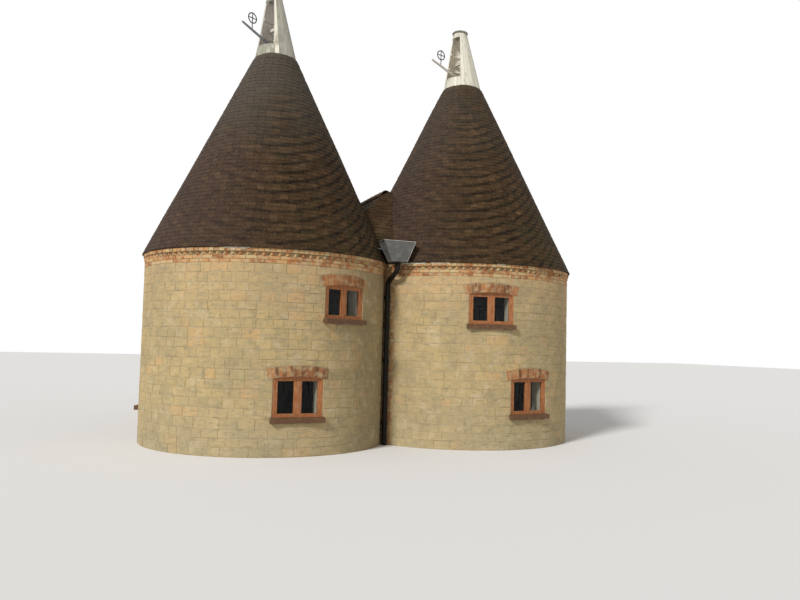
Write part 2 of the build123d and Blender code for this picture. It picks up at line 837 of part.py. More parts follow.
for side in kiln_sides:
    upright = vane_plane(side)
    outside = cowl_cone(side, 0)
    inside = cowl_cone(side, cowl_board)
    spider_room = cowl_cone(side, cowl_board + fit_gap)
    with BuildPart() as cowl_shell:
        add(outside)
        add(inside, mode=Mode.SUBTRACT)
        with BuildSketch(cowl_level(side, cowl_base + cowl_skirt)):
            reach = 2 * cowl_base_radius
            spread = reach * tan(radians(cowl_opening_angle / 2))
            with BuildLine():
                Polyline((0, 0), (reach, -spread), (reach, spread), close=True)
            make_face()
        extrude(amount=cowl_top - cowl_hood - cowl_base - cowl_skirt, mode=Mode.SUBTRACT)
    save(cowl_shell, side + "_cowl_shell")

    with BuildPart() as cowl_post:
        with BuildSketch(cowl_level(side, lower_spider)):
            for turn in (45, -45):
                Rectangle(2 * cowl_base_radius, spider_bar, rotation=turn)
        extrude(amount=spider_depth)
        with BuildSketch(cowl_level(side, post_top - upper_spider_drop)):
            Rectangle(spider_bar, 2 * cowl_base_radius)
        extrude(amount=spider_depth)
        add(spider_room, mode=Mode.INTERSECT)
        with BuildSketch(cowl_level(side, beam_top + fit_gap)):
            Rectangle(post_size, post_size)
        extrude(amount=post_top - beam_top - fit_gap)
        with BuildSketch(cowl_level(side, beam_top)):
            Circle(pintle_radius + pintle_clearance)
        extrude(amount=pintle_height + bore_spare, mode=Mode.SUBTRACT)
    save(cowl_post, side + "_cowl_post")

    with BuildPart() as vane_arm:
        with BuildSketch(upright.offset(-vane_thickness / 2)):
            arm_outline()
        extrude(amount=vane_thickness)
    save(vane_arm, side + "_vane_arm")

    with BuildPart() as vane_emblem:
        stand = emblem_place * vane_reach
        arm_line = vane_root_height + vane_fall * stand
        centre_height = arm_line + vane_depth / 2 + emblem_stem + emblem_radius
        with BuildSketch(upright.offset(-emblem_thickness / 2)):
            with Locations((stand, centre_height)):
                Circle(emblem_radius)
                Circle(emblem_radius - emblem_ring, mode=Mode.SUBTRACT)
                Rectangle(2 * emblem_radius - emblem_ring, emblem_bar)
                Rectangle(emblem_bar, 2 * emblem_radius - emblem_ring)
            with Locations((stand, arm_line)):
                Rectangle(
                    emblem_bar, centre_height - arm_line - emblem_radius + emblem_ring / 2,
                    align=(Align.CENTER, Align.MIN),
                )
        extrude(amount=emblem_thickness)
        add(vane_arm.part, mode=Mode.SUBTRACT)
    save(vane_emblem, side + "_vane_emblem")

    with BuildPart() as cowl_cap:
        with BuildSketch(cowl_level(side, cowl_top)):
            with Locations((cowl_lean, 0)):
                Circle(cowl_top_radius + cap_overhang)
        extrude(amount=cap_thickness)
        chamfer(cowl_cap.edges().group_by(Axis.Z)[-1], cap_thickness / 3)
    save(cowl_cap, side + "_cowl_cap")
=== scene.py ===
import math
import random

import bmesh
import bpy
from mathutils import Matrix, Vector, noise


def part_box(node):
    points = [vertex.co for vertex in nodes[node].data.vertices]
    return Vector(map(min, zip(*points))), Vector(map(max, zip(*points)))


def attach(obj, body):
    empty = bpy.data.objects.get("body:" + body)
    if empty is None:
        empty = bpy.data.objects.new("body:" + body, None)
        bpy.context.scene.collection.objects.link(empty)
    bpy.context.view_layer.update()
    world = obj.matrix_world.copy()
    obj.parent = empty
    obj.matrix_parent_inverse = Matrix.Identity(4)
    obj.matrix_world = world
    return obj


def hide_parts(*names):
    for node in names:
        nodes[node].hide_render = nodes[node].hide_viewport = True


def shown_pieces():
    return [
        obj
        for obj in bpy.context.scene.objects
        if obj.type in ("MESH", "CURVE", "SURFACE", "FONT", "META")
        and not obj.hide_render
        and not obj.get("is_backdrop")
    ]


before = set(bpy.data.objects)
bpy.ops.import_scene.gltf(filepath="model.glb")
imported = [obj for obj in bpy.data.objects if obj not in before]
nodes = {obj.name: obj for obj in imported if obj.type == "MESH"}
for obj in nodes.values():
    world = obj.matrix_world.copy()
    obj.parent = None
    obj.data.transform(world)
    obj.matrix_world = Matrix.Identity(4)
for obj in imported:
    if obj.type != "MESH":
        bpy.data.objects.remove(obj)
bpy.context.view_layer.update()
print("frame:", len(nodes), "nodes")

# Sizes shared by several pieces, in metres
house = {
    "kilnRadius": 2.75,
    "kilnInner": 2.3,
    "halfSpacing": 2.48,
    "storeLeft": -1.95,
    "storeRight": 2.85,
    "storeAxis": 0.45,
    "storeHalf": 2.4,
    "storeMeet": 2.698,  # where the store's side walls leave the kilns
    "storeRear": 9.0,
    "storeHead": 3.88,
    "storePitch": 40.0,
    "roofThick": 0.15,
    "gableTop": 5.9,
    "halfAngle": 25.55,  # of the cones
    "eavesRadius": 2.808,
    "topRadius": 0.518,  # of the tiles under the cowls
    "vaneTurn": {"left": 210.0, "right": 196.0},
    "facing": {"left": 259.0, "right": 244.0},  # the side of each cone that looks at the viewer
}
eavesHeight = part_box("left_cone_roof")[0].z
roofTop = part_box("left_cone_roof")[1].z
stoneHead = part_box("party_wall")[1].z
radius = house["kilnRadius"]
storePitch = math.radians(house["storePitch"])
ridgeHeight = house["storeHead"] + house["storeHalf"] * math.tan(storePitch) + house["roofThick"] / math.cos(storePitch)
sides = {"left": -1, "right": 1}
kilnX = {side: sign * house["halfSpacing"] for side, sign in sides.items()}
dice = random.Random(41)

# Window faces: width, lower and upper sill tops with their crowns, and how far the sills stand out
openings = {
    "width": 1.05, "lower": (0.785, 1.600), "upper": (2.790, 3.495), "door": (0.0, 2.0), "headRise": 0.045,
    "play": 0.004, "sillHorn": 0.041, "sillDepth": 0.116,
}
arch = {
    "soffit": 3.085, "brick": 0.215, "half": 11.42, "count": 17, "spare": 0.008,
    "depth": 0.03, "proud": 0.010, "joint": 0.010, "lift": (-0.002, 0.003), "tones": (0.15, 0.85),
}
kilnWindows = {
    "left": ((273.0, "lower"), (294.8, "upper"), (160.0, "lower"), (139.0, "upper")),
    "right": ((-78.5, "lower"), (-99.8, "upper"), (20.0, "lower"), (41.0, "upper")),
}
sideWindows = ((4.2915, "lower"), (4.2915, "upper"), (7.0065, "lower"), (7.0065, "upper"))
storeWindows = {
    "left": sideWindows,
    "right": sideWindows,
    "rear": ((-1.05, "lower"), (1.95, "lower"), (0.45, "upper"), (0.45, "door")),
}


# One wrapped socket, so that shader maths reads as sums
class Wire:
    def __init__(self, graph, socket):
        self.graph = graph
        self.socket = socket

    def __add__(self, other):
        return self.graph.maths("ADD", self, other)

    def __sub__(self, other):
        return self.graph.maths("SUBTRACT", self, other)

    def __rsub__(self, other):
        return self.graph.maths("SUBTRACT", other, self)

    def __mul__(self, other):
        return self.graph.maths("MULTIPLY", self, other)

    def __truediv__(self, other):
        return self.graph.maths("DIVIDE", self, other)

    def __gt__(self, other):
        return self.graph.maths("GREATER_THAN", self, other)

    def __lt__(self, other):
        return self.graph.maths("LESS_THAN", self, other)

    __radd__ = __add__
    __rmul__ = __mul__


# The few nodes that the finishes and the sky are put together from
class Graph:
    def __init__(self, tree):
        self.tree = tree

    def node(self, kind, settings=(), inputs=(), output=0):
        made = self.tree.nodes.new(kind)
        for name, value in dict(settings).items():
            if name == "stops":
                ramp = made.color_ramp.elements
                ramp[0].position, ramp[1].position = value[0][0], value[-1][0]
                for position, colour in value[1:-1]:
                    ramp.new(position)
                for element, (position, colour) in zip(ramp, value):
                    element.color = (*colour, 1)
            else:
                setattr(made, name, value)
        for name, value in dict(inputs).items():
            self.plug(made.inputs[name], value)
        return Wire(self, made.outputs[output])

    def plug(self, socket, value):
        if isinstance(value, Wire):
            self.tree.links.new(value.socket, socket)
        elif socket.type == "RGBA" and len(value) == 3:
            socket.default_value = (*value, 1)
        else:
            socket.default_value = value

    def maths(self, operation, first, second=0.0):
        return self.node("ShaderNodeMath", {"operation": operation}, {0: first, 1: second})

    def spread(self, value, low, high, start=0.0, end=1.0):
        fed = {"Value": value, "From Min": low, "From Max": high, "To Min": start, "To Max": end}
        return self.node("ShaderNodeMapRange", {}, fed)


# A material, its shader and the patterns that the finishes share
class Finish(Graph):
    def __init__(self, name, roughness, specular):
        self.material = bpy.data.materials.new(name)
        self.material.use_nodes = True
        super().__init__(self.material.node_tree)
        self.shader = self.tree.nodes["Principled BSDF"]
        self.spot = self.node("ShaderNodeTexCoord", output="Object")
        self.shader.inputs["Roughness"].default_value = roughness
        self.shader.inputs["Specular IOR Level"].default_value = specular

    def noise(self, scale, detail=4.0, stretch=(1, 1, 1), roughness=0.55):
        where = self.spot
        if stretch != (1, 1, 1):
            where = self.node("ShaderNodeMapping", {}, {"Vector": self.spot, "Scale": stretch})
        fed = {"Vector": where, "Scale": scale, "Detail": detail, "Roughness": roughness}
        return self.node("ShaderNodeTexNoise", {}, fed)

    def cells(self, scale, feature="F1", output="Distance"):
        return self.node("ShaderNodeTexVoronoi", {"feature": feature}, {"Vector": self.spot, "Scale": scale}, output)

    def axis(self, index):
        return self.node("ShaderNodeSeparateXYZ", {}, {0: self.spot}, index)

    def tone(self, name="tone"):
        return self.node("ShaderNodeAttribute", {"attribute_name": name}, {}, 2)

    def ramp(self, value, *stops):
        return self.node("ShaderNodeValToRGB", {"stops": stops}, {0: value})

    def mix(self, share, first, second):
        return self.node("ShaderNodeMix", {"data_type": "RGBA"}, {0: share, 6: first, 7: second}, 2)

    def over(self, colour, other, share, low, high, *size, **more):
        # lays another colour where a noise runs high
        return self.mix(self.spread(self.noise(*size, **more), low, high) * share, colour, other)

    def uneven(self, scale, low, high):
        # a roughness that drifts between two values
        return self.spread(self.noise(scale), 0.3, 0.7, low, high)

    def dress(self, colour, roughness=None, height=None, depth=0.002):
        self.plug(self.shader.inputs["Base Color"], colour)
        if roughness is not None:
            self.plug(self.shader.inputs["Roughness"], roughness)
        if height is not None:
            raised = self.node("ShaderNodeBump", {}, {"Height": height, "Distance": depth, "Strength": 1.0})
            self.plug(self.shader.inputs["Normal"], raised)
        return self.material

    def kilnDistance(self):
        # how far a point is from the axis of the nearer kiln, on plan
        across = self.maths("ABSOLUTE", self.axis(0)) - house["halfSpacing"]
        along = self.axis(1)
        return self.maths("SQRT", across * across + along * along)


stoneLook = {
    "stops": (
        (0.0, (0.235, 0.18, 0.105)),
        (0.16, (0.36, 0.27, 0.14)),
        (0.4, (0.45, 0.345, 0.172)),
        (0.62, (0.51, 0.37, 0.172)),
        (0.8, (0.525, 0.415, 0.235)),
        (1.0, (0.62, 0.52, 0.34)),
    ),
    "grime": (0.27, 0.24, 0.15),
    "peach": (0.58, 0.37, 0.19),
    "foot": (0.38, 0.34, 0.23),
    "dampAndShade": (0.15, 0.13, 0.075),
    "orange": (0.60, 0.33, 0.13),
    "pit": (0.17, 0.125, 0.07),
    "mortar": (0.53, 0.43, 0.27),
    "joint": (0.43, 0.34, 0.20),
    "plaster": (0.70, 0.66, 0.50),
    "speck": (0.20, 0.15, 0.08),
    "skin": 0.13,  # how deep in a wall its plastered side begins
}


def stoneBlockFinish():
    f = Finish("coursedStone", 0.9, 0.25)
    tone = f.tone() * 0.3 + f.noise(6, 7, roughness=0.7) * 1.2 + f.noise(17, 4) * 0.45 + f.noise(2.2, 3) * 0.7 - 0.82
    colour = f.ramp(tone, *stoneLook["stops"])
    colour = f.mix(f.spread(f.tone(), 0.93, 0.94) * 0.35, colour, stoneLook["orange"])
    height = f.axis(2) + f.noise(1.1, 3) * 1.6
    colour = f.mix(f.spread(height, 3.3, 4.6) * 0.4, colour, stoneLook["peach"])
    colour = f.mix(f.spread(height, 2.3, 0.6) * 0.4, colour, stoneLook["foot"])
    colour = f.over(colour, stoneLook["grime"], 0.35, 0.44, 0.66, 0.9, 4)
    # damp and lichen, with painted shade, where the left kiln turns in towards the pipe
    dampAndShade = f.spread(f.axis(0) + f.noise(1.3, 5) * 1.1, -1.1, -0.2) * (f.axis(0) < 0) * (f.axis(1) < 1)
    colour = f.mix(dampAndShade * 0.42, colour, stoneLook["dampAndShade"])
    colour = f.over(colour, stoneLook["mortar"], 0.5, 0.54, 0.66, 4.5, 5)
    colour = f.over(colour, stoneLook["grime"], 0.55, 0.52, 0.63, 5, 6, (1, 1, 3.4), 0.66)  # soot, longer than high
    colour = f.over(colour, stoneLook["pit"], 0.55, 0.60, 0.70, 15, 6, roughness=0.62)
    colour = f.over(colour, stoneLook["speck"], 0.3, 0.58, 0.72, 46, 3)
    grain = f.noise(24, 6) * 0.7 + f.noise(95, 3) * 0.3
    return f.dress(colour, f.uneven(30, 0.82, 0.97), grain, 0.008)


def mortarFinish():
    # pointing on the outer faces, plaster inside the rooms, darker than the plaster on the jambs as a painted shade
    f = Finish("wallMortar", 0.93, 0.2)
    joint = f.ramp(f.noise(3.2, 5), (0.34, (0.31, 0.24, 0.14)), (0.5, stoneLook["joint"]), (0.72, (0.50, 0.41, 0.26)))
    inner = f.kilnDistance() < radius - stoneLook["skin"]
    x, y = f.axis(0), f.axis(1)
    across = f.maths("ABSOLUTE", x - house["storeAxis"]) < house["storeHalf"] - stoneLook["skin"]
    room = across * (y < house["storeRear"] - stoneLook["skin"]) * (y > 1.2)
    lined = f.maths("MAXIMUM", inner, room)
    # the rooms' plaster, darker than the jambs': painted shade
    plaster = f.ramp(f.noise(2.1, 4), (0.35, (0.52, 0.47, 0.34)), (0.6, stoneLook["plaster"]))
    colour = f.mix(lined, joint, plaster)
    return f.dress(colour, f.uneven(20, 0.86, 0.98), f.noise(70, 5) * (1 - lined * 0.7), 0.006)


brickLook = {
    "stops": (
        (0.0, (0.11, 0.050, 0.023)),
        (0.3, (0.26, 0.105, 0.042)),
        (0.6, (0.44, 0.185, 0.068)),
        (0.85, (0.55, 0.29, 0.115)),
        (1.0, (0.52, 0.37, 0.18)),
    ),
    "mortar": (0.55, 0.43, 0.24),
}


def brickFinish(name, shade, smeared=0.6):
    # shade lowers the tone: arches are darker than the bands
    f = Finish(name, 0.88, 0.25)
    colour = f.ramp(f.tone() * 0.7 + f.noise(26, 5) * 0.45 - shade, *brickLook["stops"])
    colour = f.over(colour, brickLook["mortar"], smeared, 0.58 - smeared * 0.2, 0.66, 9, 5)
    return f.dress(colour, f.uneven(40, 0.8, 0.95), f.noise(60, 5), 0.005)


def plasterFinish():
    f = Finish("jambPlaster", 0.9, 0.2)
    # paler than the plaster inside the rooms, as painted light on the jambs
    colour = f.ramp(f.noise(6, 5), (0.3, (0.66, 0.63, 0.47)), (0.6, (0.84, 0.81, 0.64)))
    return f.dress(colour, f.uneven(25, 0.8, 0.95), f.noise(40, 4), 0.002)


def filletFinish():
    f = Finish("limeFillet", 0.92, 0.2)
    colour = f.ramp(f.noise(16, 5), (0.35, (0.36, 0.32, 0.24)), (0.55, (0.58, 0.54, 0.44)), (0.7, (0.66, 0.62, 0.52)))
    return f.dress(colour, f.uneven(30, 0.85, 0.97), f.noise(60, 5), 0.004)


def archBackFinish():
    # mortar colour on the faces that the arch bricks stand before, brick on the rest
    f = Finish("archBrick", 0.9, 0.25)
    x, y, proud, storeFrom = f.axis(0), f.axis(1), 0.0025, 2.66
    kilnFace = (f.kilnDistance() > radius + proud) * (y < storeFrom)
    across = f.maths("ABSOLUTE", x - house["storeAxis"]) > house["storeHalf"] + proud
    storeFace = f.maths("MAXIMUM", across, y > house["storeRear"] + proud) * (y > storeFrom)
    brick = f.ramp(f.noise(14, 5), (0.3, (0.13, 0.055, 0.03)), (0.6, (0.33, 0.13, 0.06)))
    colour = f.mix(f.maths("MAXIMUM", kilnFace, storeFace), brick, (0.40, 0.31, 0.20))
    return f.dress(colour, f.uneven(30, 0.85, 0.95), f.noise(60, 5), 0.005)


tileLook = {
    "stops": (
        (0.0, (0.010, 0.006, 0.003)),
        (0.3, (0.027, 0.015, 0.007)),
        (0.58, (0.056, 0.031, 0.014)),
        (0.8, (0.100, 0.056, 0.026)),
        (1.0, (0.19, 0.115, 0.058)),
    ),
    "shadowArcs": {"pitch": 0.225, "sag": 0.85, "depth": 0.5},
    "lichen": (0.15, 0.125, 0.065),
    "mossAndShade": (0.030, 0.036, 0.012),
    "weather": (0.095, 0.085, 0.068),
    "plum": (0.085, 0.060, 0.058),
}


def tileFinish(name, side=None):
    f = Finish(name, 0.85, 0.12)
    tone = f.tone() * 0.5 + f.noise(5.0, 5) * 0.5 + 0.02
    if side:
        # painted shade: dark lines for the shadows under the tile courses, hanging like garlands on the side that faces
        # the viewer; the tone there is also lifted a little
        shadowArcs = tileLook["shadowArcs"]
        facing = math.radians(house["facing"][side])
        across, along, up = f.axis(0) - kilnX[side], f.axis(1), f.axis(2)
        reach = f.kilnDistance()
        front = across * math.cos(facing) + along * math.sin(facing)
        rightward = (along * math.cos(facing) - across * math.sin(facing)) / reach
        level = up - (reach - front) * shadowArcs["sag"] + f.noise(3.0, 4) * 0.15
        wave = f.maths("SINE", level * (math.tau / shadowArcs["pitch"]))
        broken = f.spread(f.noise(2.6, 4), 0.38, 0.56, 0.25, 1.0) * f.spread(rightward, -0.35, 0.15, 0.4, 1.0)
        fade = f.spread(front / reach, 0.1, 0.55) * f.spread(up, 8.7, 8.0) * broken
        tone = tone - f.spread(wave, 0.1, 0.95) * fade * shadowArcs["depth"] + fade * 0.07
    colour = f.ramp(tone, *tileLook["stops"])
    if side:
        colour = f.mix(f.spread(rightward, 0.1, -0.7) * 0.3, colour, tileLook["plum"])
    greyed = f.spread(f.axis(2) + f.noise(1.7, 4) * 1.6, 6.9, 9.3) * f.spread(f.axis(0), 1.5, -1.5, 0.35, 1.0)
    colour = f.mix(greyed * 0.6, colour, tileLook["weather"])
    colour = f.over(colour, tileLook["lichen"], 0.6, 0.58, 0.69, 34, 4)
    # moss in patches, more of it on the right side of each cone, where it is part moss and part painted shade
    outward = f.axis(0) - f.axis(1) * 0.4 - f.maths("SIGN", f.axis(0)) * house["halfSpacing"]
    shadeSide = f.spread(outward, 0.8, 2.4, 0.0, 0.16)
    mossAndShadeMask = f.spread(f.noise(2.3, 5) + shadeSide, 0.58, 0.74) * f.spread(f.noise(30, 4), 0.4, 0.6)
    colour = f.mix(mossAndShadeMask * 0.55, colour, tileLook["mossAndShade"])
    return f.dress(colour, f.uneven(28, 0.72, 0.95), f.noise(75, 4), 0.003)


def deckFinish(pitch=0.16):
    # the shells under the tiles: dark boards with open joints
    f = Finish("roofDeck", 0.92, 0.2)
    joint = f.maths("FRACT", f.axis(2) / pitch) < 0.06
    wood = f.ramp(f.noise(3, 5, (1, 1, 9)), (0.3, (0.035, 0.022, 0.013)), (0.7, (0.075, 0.047, 0.027)))
    return f.dress(f.mix(joint, wood, (0.012, 0.008, 0.005)), None, f.noise(30, 4) + joint * -0.8, 0.006)


def timberFinish(name, colours, wear, along=(14, 14, 1.6), places=(0.3, 0.55, 0.75)):
    # stained joinery: grain, worn edges shown as paler streaks
    f = Finish(name, 0.6, 0.35)
    grain = f.noise(4.0, 6, along, 0.6)
    colour = f.over(f.ramp(grain, *zip(places, colours)), wear, 0.4, 0.52, 0.72, 11, 5)
    return f.dress(colour, f.spread(grain, 0.3, 0.7, 0.5, 0.75), grain, 0.0025)


def boardFinish(name, pitch, *colours):
    # boards laid side by side along X, told apart by their tone
    f = Finish(name, 0.8, 0.25)
    run = f.axis(0) / pitch
    joint = f.maths("FRACT", run) < 0.035
    eachBoard = f.node("ShaderNodeTexWhiteNoise", {"noise_dimensions": "1D"}, {"W": f.maths("FLOOR", run)})
    grain = f.noise(3.0, 6, (14, 2, 14), 0.6)
    colour = f.ramp(eachBoard * 0.3 + grain * 0.75, *zip((0.2, 0.5, 0.8), colours))
    colour = f.mix(joint, colour, (0.02, 0.014, 0.01))
    return f.dress(colour, f.spread(grain, 0.3, 0.7, 0.65, 0.9), grain - joint * 1.5, 0.003)


def flagFinish(size=1.7):
    f = Finish("floorFlags", 0.85, 0.3)
    joint = f.cells(size, "DISTANCE_TO_EDGE") < 0.012
    colour = f.ramp(f.cells(size, output="Color"), (0.2, (0.20, 0.18, 0.14)), (0.8, (0.34, 0.31, 0.25)))
    colour = f.over(colour, (0.16, 0.14, 0.11), 0.4, 0.4, 0.7, 12, 5)
    colour = f.mix(joint, colour, (0.09, 0.08, 0.06))
    return f.dress(colour, f.uneven(18, 0.6, 0.9), f.noise(26, 5) - joint * 1.5, 0.006)


cowlLook = {
    "paint": (0.50, 0.48, 0.40),
    "cream": (0.84, 0.79, 0.66),
    "bare": (0.25, 0.23, 0.18),
    "stain": (0.20, 0.14, 0.08),
    "algae": (0.19, 0.20, 0.13),
    "greyInside": (0.78, 0.74, 0.70),
    "paleInside": (0.90, 0.84, 0.72),
}


def cowlFinish():
    # brushed paint outside, paler or greyer boards within
    f = Finish("cowlBoards", 0.7, 0.3)
    tone = f.tone()
    colour = f.mix(f.spread(tone, 0.15, 0.9), cowlLook["paint"], cowlLook["cream"])
    streaks = f.noise(2.6, 6, (5, 5, 0.8), 0.62)
    colour = f.mix(f.spread(streaks, 0.54, 0.68) * 0.45, colour, cowlLook["bare"])
    colour = f.over(colour, cowlLook["stain"], 0.6, 0.58, 0.70, 2.4, 4, (2, 2, 1))
    green = f.tone("shade") * f.spread(f.noise(5, 4), 0.25, 0.55)
    colour = f.mix(green * 0.75, colour, cowlLook["algae"])
    inside = f.mix(tone, cowlLook["greyInside"], cowlLook["paleInside"])
    inside = f.over(inside, cowlLook["algae"], (1 - tone) * 0.25, 0.5, 0.7, 3.5, 4)
    colour = f.mix(f.tone("within") > 0.5, colour, inside)
    return f.dress(colour, f.spread(streaks, 0.3, 0.7, 0.55, 0.85), f.noise(6, 6, (12, 12, 1)), 0.002)


def metalFinish(name, low, high, marks, roughness, metallic=0.0):
    f = Finish(name, roughness, 0.2)
    f.shader.inputs["Metallic"].default_value = metallic
    cloud = f.noise(6, 6)
    colour = f.ramp(cloud, (0.32, low), (0.68, high))
    colour = f.over(colour, marks, 0.5, 0.56, 0.70, 9, 5, (6, 6, 1))
    return f.dress(colour, f.spread(cloud, 0.3, 0.7, roughness - 0.12, roughness + 0.12), f.noise(22, 5), 0.002)


def glassFinish():
    # clear in the front windows; in the others nearly opaque and dark, a painted shade that keeps the rooms dark
    f = Finish("windowGlass", 0.06, 0.4)
    f.shader.inputs["IOR"].default_value = 1.5
    # panes away from the front are nearly opaque: painted shade for the dark rooms
    f.plug(f.shader.inputs["Alpha"], f.spread(f.axis(1) < -1.3, 0, 1, 0.93, 0.2))
    dusty = f.spread(f.noise(5, 5), 0.45, 0.8)
    colour = f.mix(dusty, (0.006, 0.008, 0.009), (0.022, 0.025, 0.022))
    return f.dress(colour, f.spread(dusty, 0, 1, 0.04, 0.22), f.noise(2.5, 2), 0.0015)


finishes = {
    "stone": stoneBlockFinish(),
    "mortar": mortarFinish(),
    "plaster": plasterFinish(),
    "fillet": filletFinish(),
    "bandBrick": brickFinish("bandBrick", -0.13, 0.8),
    "quoinBrick": brickFinish("quoinBrick", -0.12, 0.9),
    "archBrick": brickFinish("archFaceBrick", 0.22),
    "archBack": archBackFinish(),
    "tiles": tileFinish("clayTiles"),
    "leftTiles": tileFinish("leftConeTiles", "left"),
    "rightTiles": tileFinish("rightConeTiles", "right"),
    "deck": deckFinish(),
    "frames": timberFinish(
        "stainedTimber", ((0.20, 0.065, 0.022), (0.40, 0.15, 0.05), (0.52, 0.22, 0.08)), (0.42, 0.30, 0.17),
    ),
    # the sills are darker than the frames, partly the wood's own colour and partly painted shade from under the sills
    "sills": timberFinish(
        "sillTimber", ((0.055, 0.027, 0.012), (0.13, 0.062, 0.027), (0.21, 0.10, 0.045)), (0.17, 0.125, 0.07),
        (3, 3, 14),
    ),
    "rough": timberFinish(
        "roughTimber", ((0.10, 0.065, 0.035), (0.20, 0.135, 0.08), (0.28, 0.20, 0.125)), (0.30, 0.25, 0.18),
        (2, 2, 2),
    ),
    "arm": timberFinish(
        "armPaint", ((0.42, 0.38, 0.30), (0.66, 0.62, 0.52), (0.80, 0.77, 0.68)), (0.30, 0.25, 0.18),
        (2, 2, 8), (0.3, 0.5, 0.8),
    ),
    "greyArm": timberFinish(
        "greyArmPaint", ((0.15, 0.16, 0.17), (0.25, 0.26, 0.27), (0.36, 0.36, 0.35)), (0.12, 0.10, 0.08),
        (2, 2, 8), (0.3, 0.5, 0.8),
    ),
    "door": boardFinish("doorPlanks", 0.149, (0.13, 0.05, 0.02), (0.27, 0.105, 0.04), (0.38, 0.17, 0.07)),
    "boards": boardFinish("floorBoards", 0.16, (0.17, 0.11, 0.06), (0.30, 0.21, 0.12), (0.42, 0.31, 0.19)),
    "flags": flagFinish(),
    "cowl": cowlFinish(),
    "cowlTop": metalFinish("cowlCap", (0.035, 0.037, 0.040), (0.30, 0.28, 0.23), (0.62, 0.58, 0.48), 0.65),
    "emblem": metalFinish("vaneIron", (0.012, 0.018, 0.032), (0.03, 0.045, 0.07), (0.10, 0.05, 0.025), 0.5),
    "lead": metalFinish("dullLead", (0.085, 0.085, 0.078), (0.16, 0.158, 0.145), (0.30, 0.29, 0.26), 0.62, 0.15),
    # paler lead for the hopper's front edges: a painted highlight
    "leadHighlight": metalFinish("paleLeadHighlight", (0.26, 0.26, 0.24), (0.42, 0.41, 0.37), (0.20, 0.19, 0.17), 0.6, 0.1),
    "pipe": metalFinish("pipePaint", (0.005, 0.004, 0.003), (0.013, 0.011, 0.008), (0.05, 0.036, 0.024), 0.62),
    "iron": metalFinish("blackIron", (0.012, 0.011, 0.010), (0.030, 0.026, 0.022), (0.09, 0.045, 0.02), 0.6),
    "glass": glassFinish(),
}
print("finishes:", len(finishes))

# Finish of each CAD node, by how its name ends; the first that fits counts, and bare walls are mortar
nodeFinish = {
    "frames": ("window_frames", "casements", "store_door_frame"),
    "sills": ("window_sills",),
    "glass": ("window_glass",),
    "archBack": ("window_arches",),
    "door": ("store_door",),
    "flags": ("ground_floor",),
    "boards": ("upper_floor",),
    "rough": ("floor_joists", "bearing_beams", "cowl_curbs"),
    "lead": ("valley_gutter", "hopper_head"),
    "pipe": ("downpipe", "pipe_brackets"),
    "tiles": ("ridge_tiles",),
    "deck": ("cone_roof", "roof_left", "roof_right", "roof_hip"),
    "cowlTop": ("cowl_cap",),
    "cowl": ("cowl_shell",),
    "greyArm": ("left_vane_arm",),
    "arm": ("cowl_post", "vane_arm"),
    "emblem": ("vane_emblem",),
    "bandBrick": ("eaves_band",),
}
for name, node in nodes.items():
    kind = next((kind for kind, ends in nodeFinish.items() if name.endswith(ends)), "mortar")
    node.data.materials.clear()
    node.data.materials.append(finishes[kind])


def makeObject(bm, name, material):
    mesh = bpy.data.meshes.new(name)
    bm.to_mesh(mesh)
    bm.free()
    mesh.materials.append(material)
    made = bpy.data.objects.new(name, mesh)
    bpy.context.scene.collection.objects.link(made)
    return made


def addPiece(bm, name, finish, standsFor=(), body="root"):
    made = makeObject(bm, name, finishes[finish])
    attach(made, body)
    if standsFor:
        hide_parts(*standsFor)


# Small tools that the pieces share
def whole(bm):
    return bm.verts[:] + bm.edges[:] + bm.faces[:]


def shift(bm, by):
    bmesh.ops.translate(bm, vec=by, verts=bm.verts[:])


def turnBy(bm, angle, axis="Z", centre=(0, 0, 0)):
    bmesh.ops.rotate(bm, cent=centre, matrix=Matrix.Rotation(angle, 3, axis), verts=bm.verts[:])


def boxAt(centre, size, turned=Matrix()):
    return Matrix.Translation(centre) @ turned @ Matrix.Diagonal((*size, 1))


def cubeOf(matrix):
    bm = bmesh.new()
    bmesh.ops.create_cube(bm, size=1, matrix=matrix)
    return bm


def outlineOf(points, closed=True):
    # one outline of plain points, ready to be spun
    bm = bmesh.new()
    ring = [bm.verts.new(point) for point in points]
    for start, end in zip(ring, ring[1:] + ring[:1] if closed else ring[1:]):
        bm.edges.new((start, end))
    return bm


def spun(bm, angle, steps, axis=(0, 0, 1), centre=(0, 0, 0), step=(0, 0, 0), copies=False):
    # sweeps what is there into a shell, or lays copies of it round a centre or along a step
    bmesh.ops.spin(
        bm, geom=whole(bm), cent=centre, axis=axis, dvec=step, angle=angle, steps=steps,
        use_merge=angle == math.tau, use_normal_flip=False, use_duplicate=copies,
    )


def faceOut(bm):
    bmesh.ops.recalc_face_normals(bm, faces=bm.faces[:])


def cutAway(bm, point, outward):
    return bmesh.ops.bisect_plane(bm, geom=whole(bm), plane_co=point, plane_no=outward, clear_outer=True)


def closeHoles(bm):
    bmesh.ops.holes_fill(bm, edges=[e for e in bm.edges if e.is_boundary], sides=0)


def newTarget():
    bm = bmesh.new()
    bm.verts.layers.float.new("tone")
    return bm


def joinInto(target, bm):
    mesh = bpy.data.meshes.new("part")
    bm.to_mesh(mesh)
    bm.free()
    target.from_mesh(mesh)
    bpy.data.meshes.remove(mesh)


def blocksOf(bm, size=8):
    # the cubes that a spin has copied, in the order they were made
    bm.verts.ensure_lookup_table()
    return [bm.verts[i:i + size] for i in range(0, len(bm.verts), size)]


def middleOf(block):
    return sum((v.co for v in block), Vector()) / len(block)


def giveTones(bm, swing=(0, 1)):
    tone = bm.verts.layers.float.new("tone")
    for block in blocksOf(bm):
        shade = dice.uniform(*swing)
        for v in block:
            v[tone] = shade


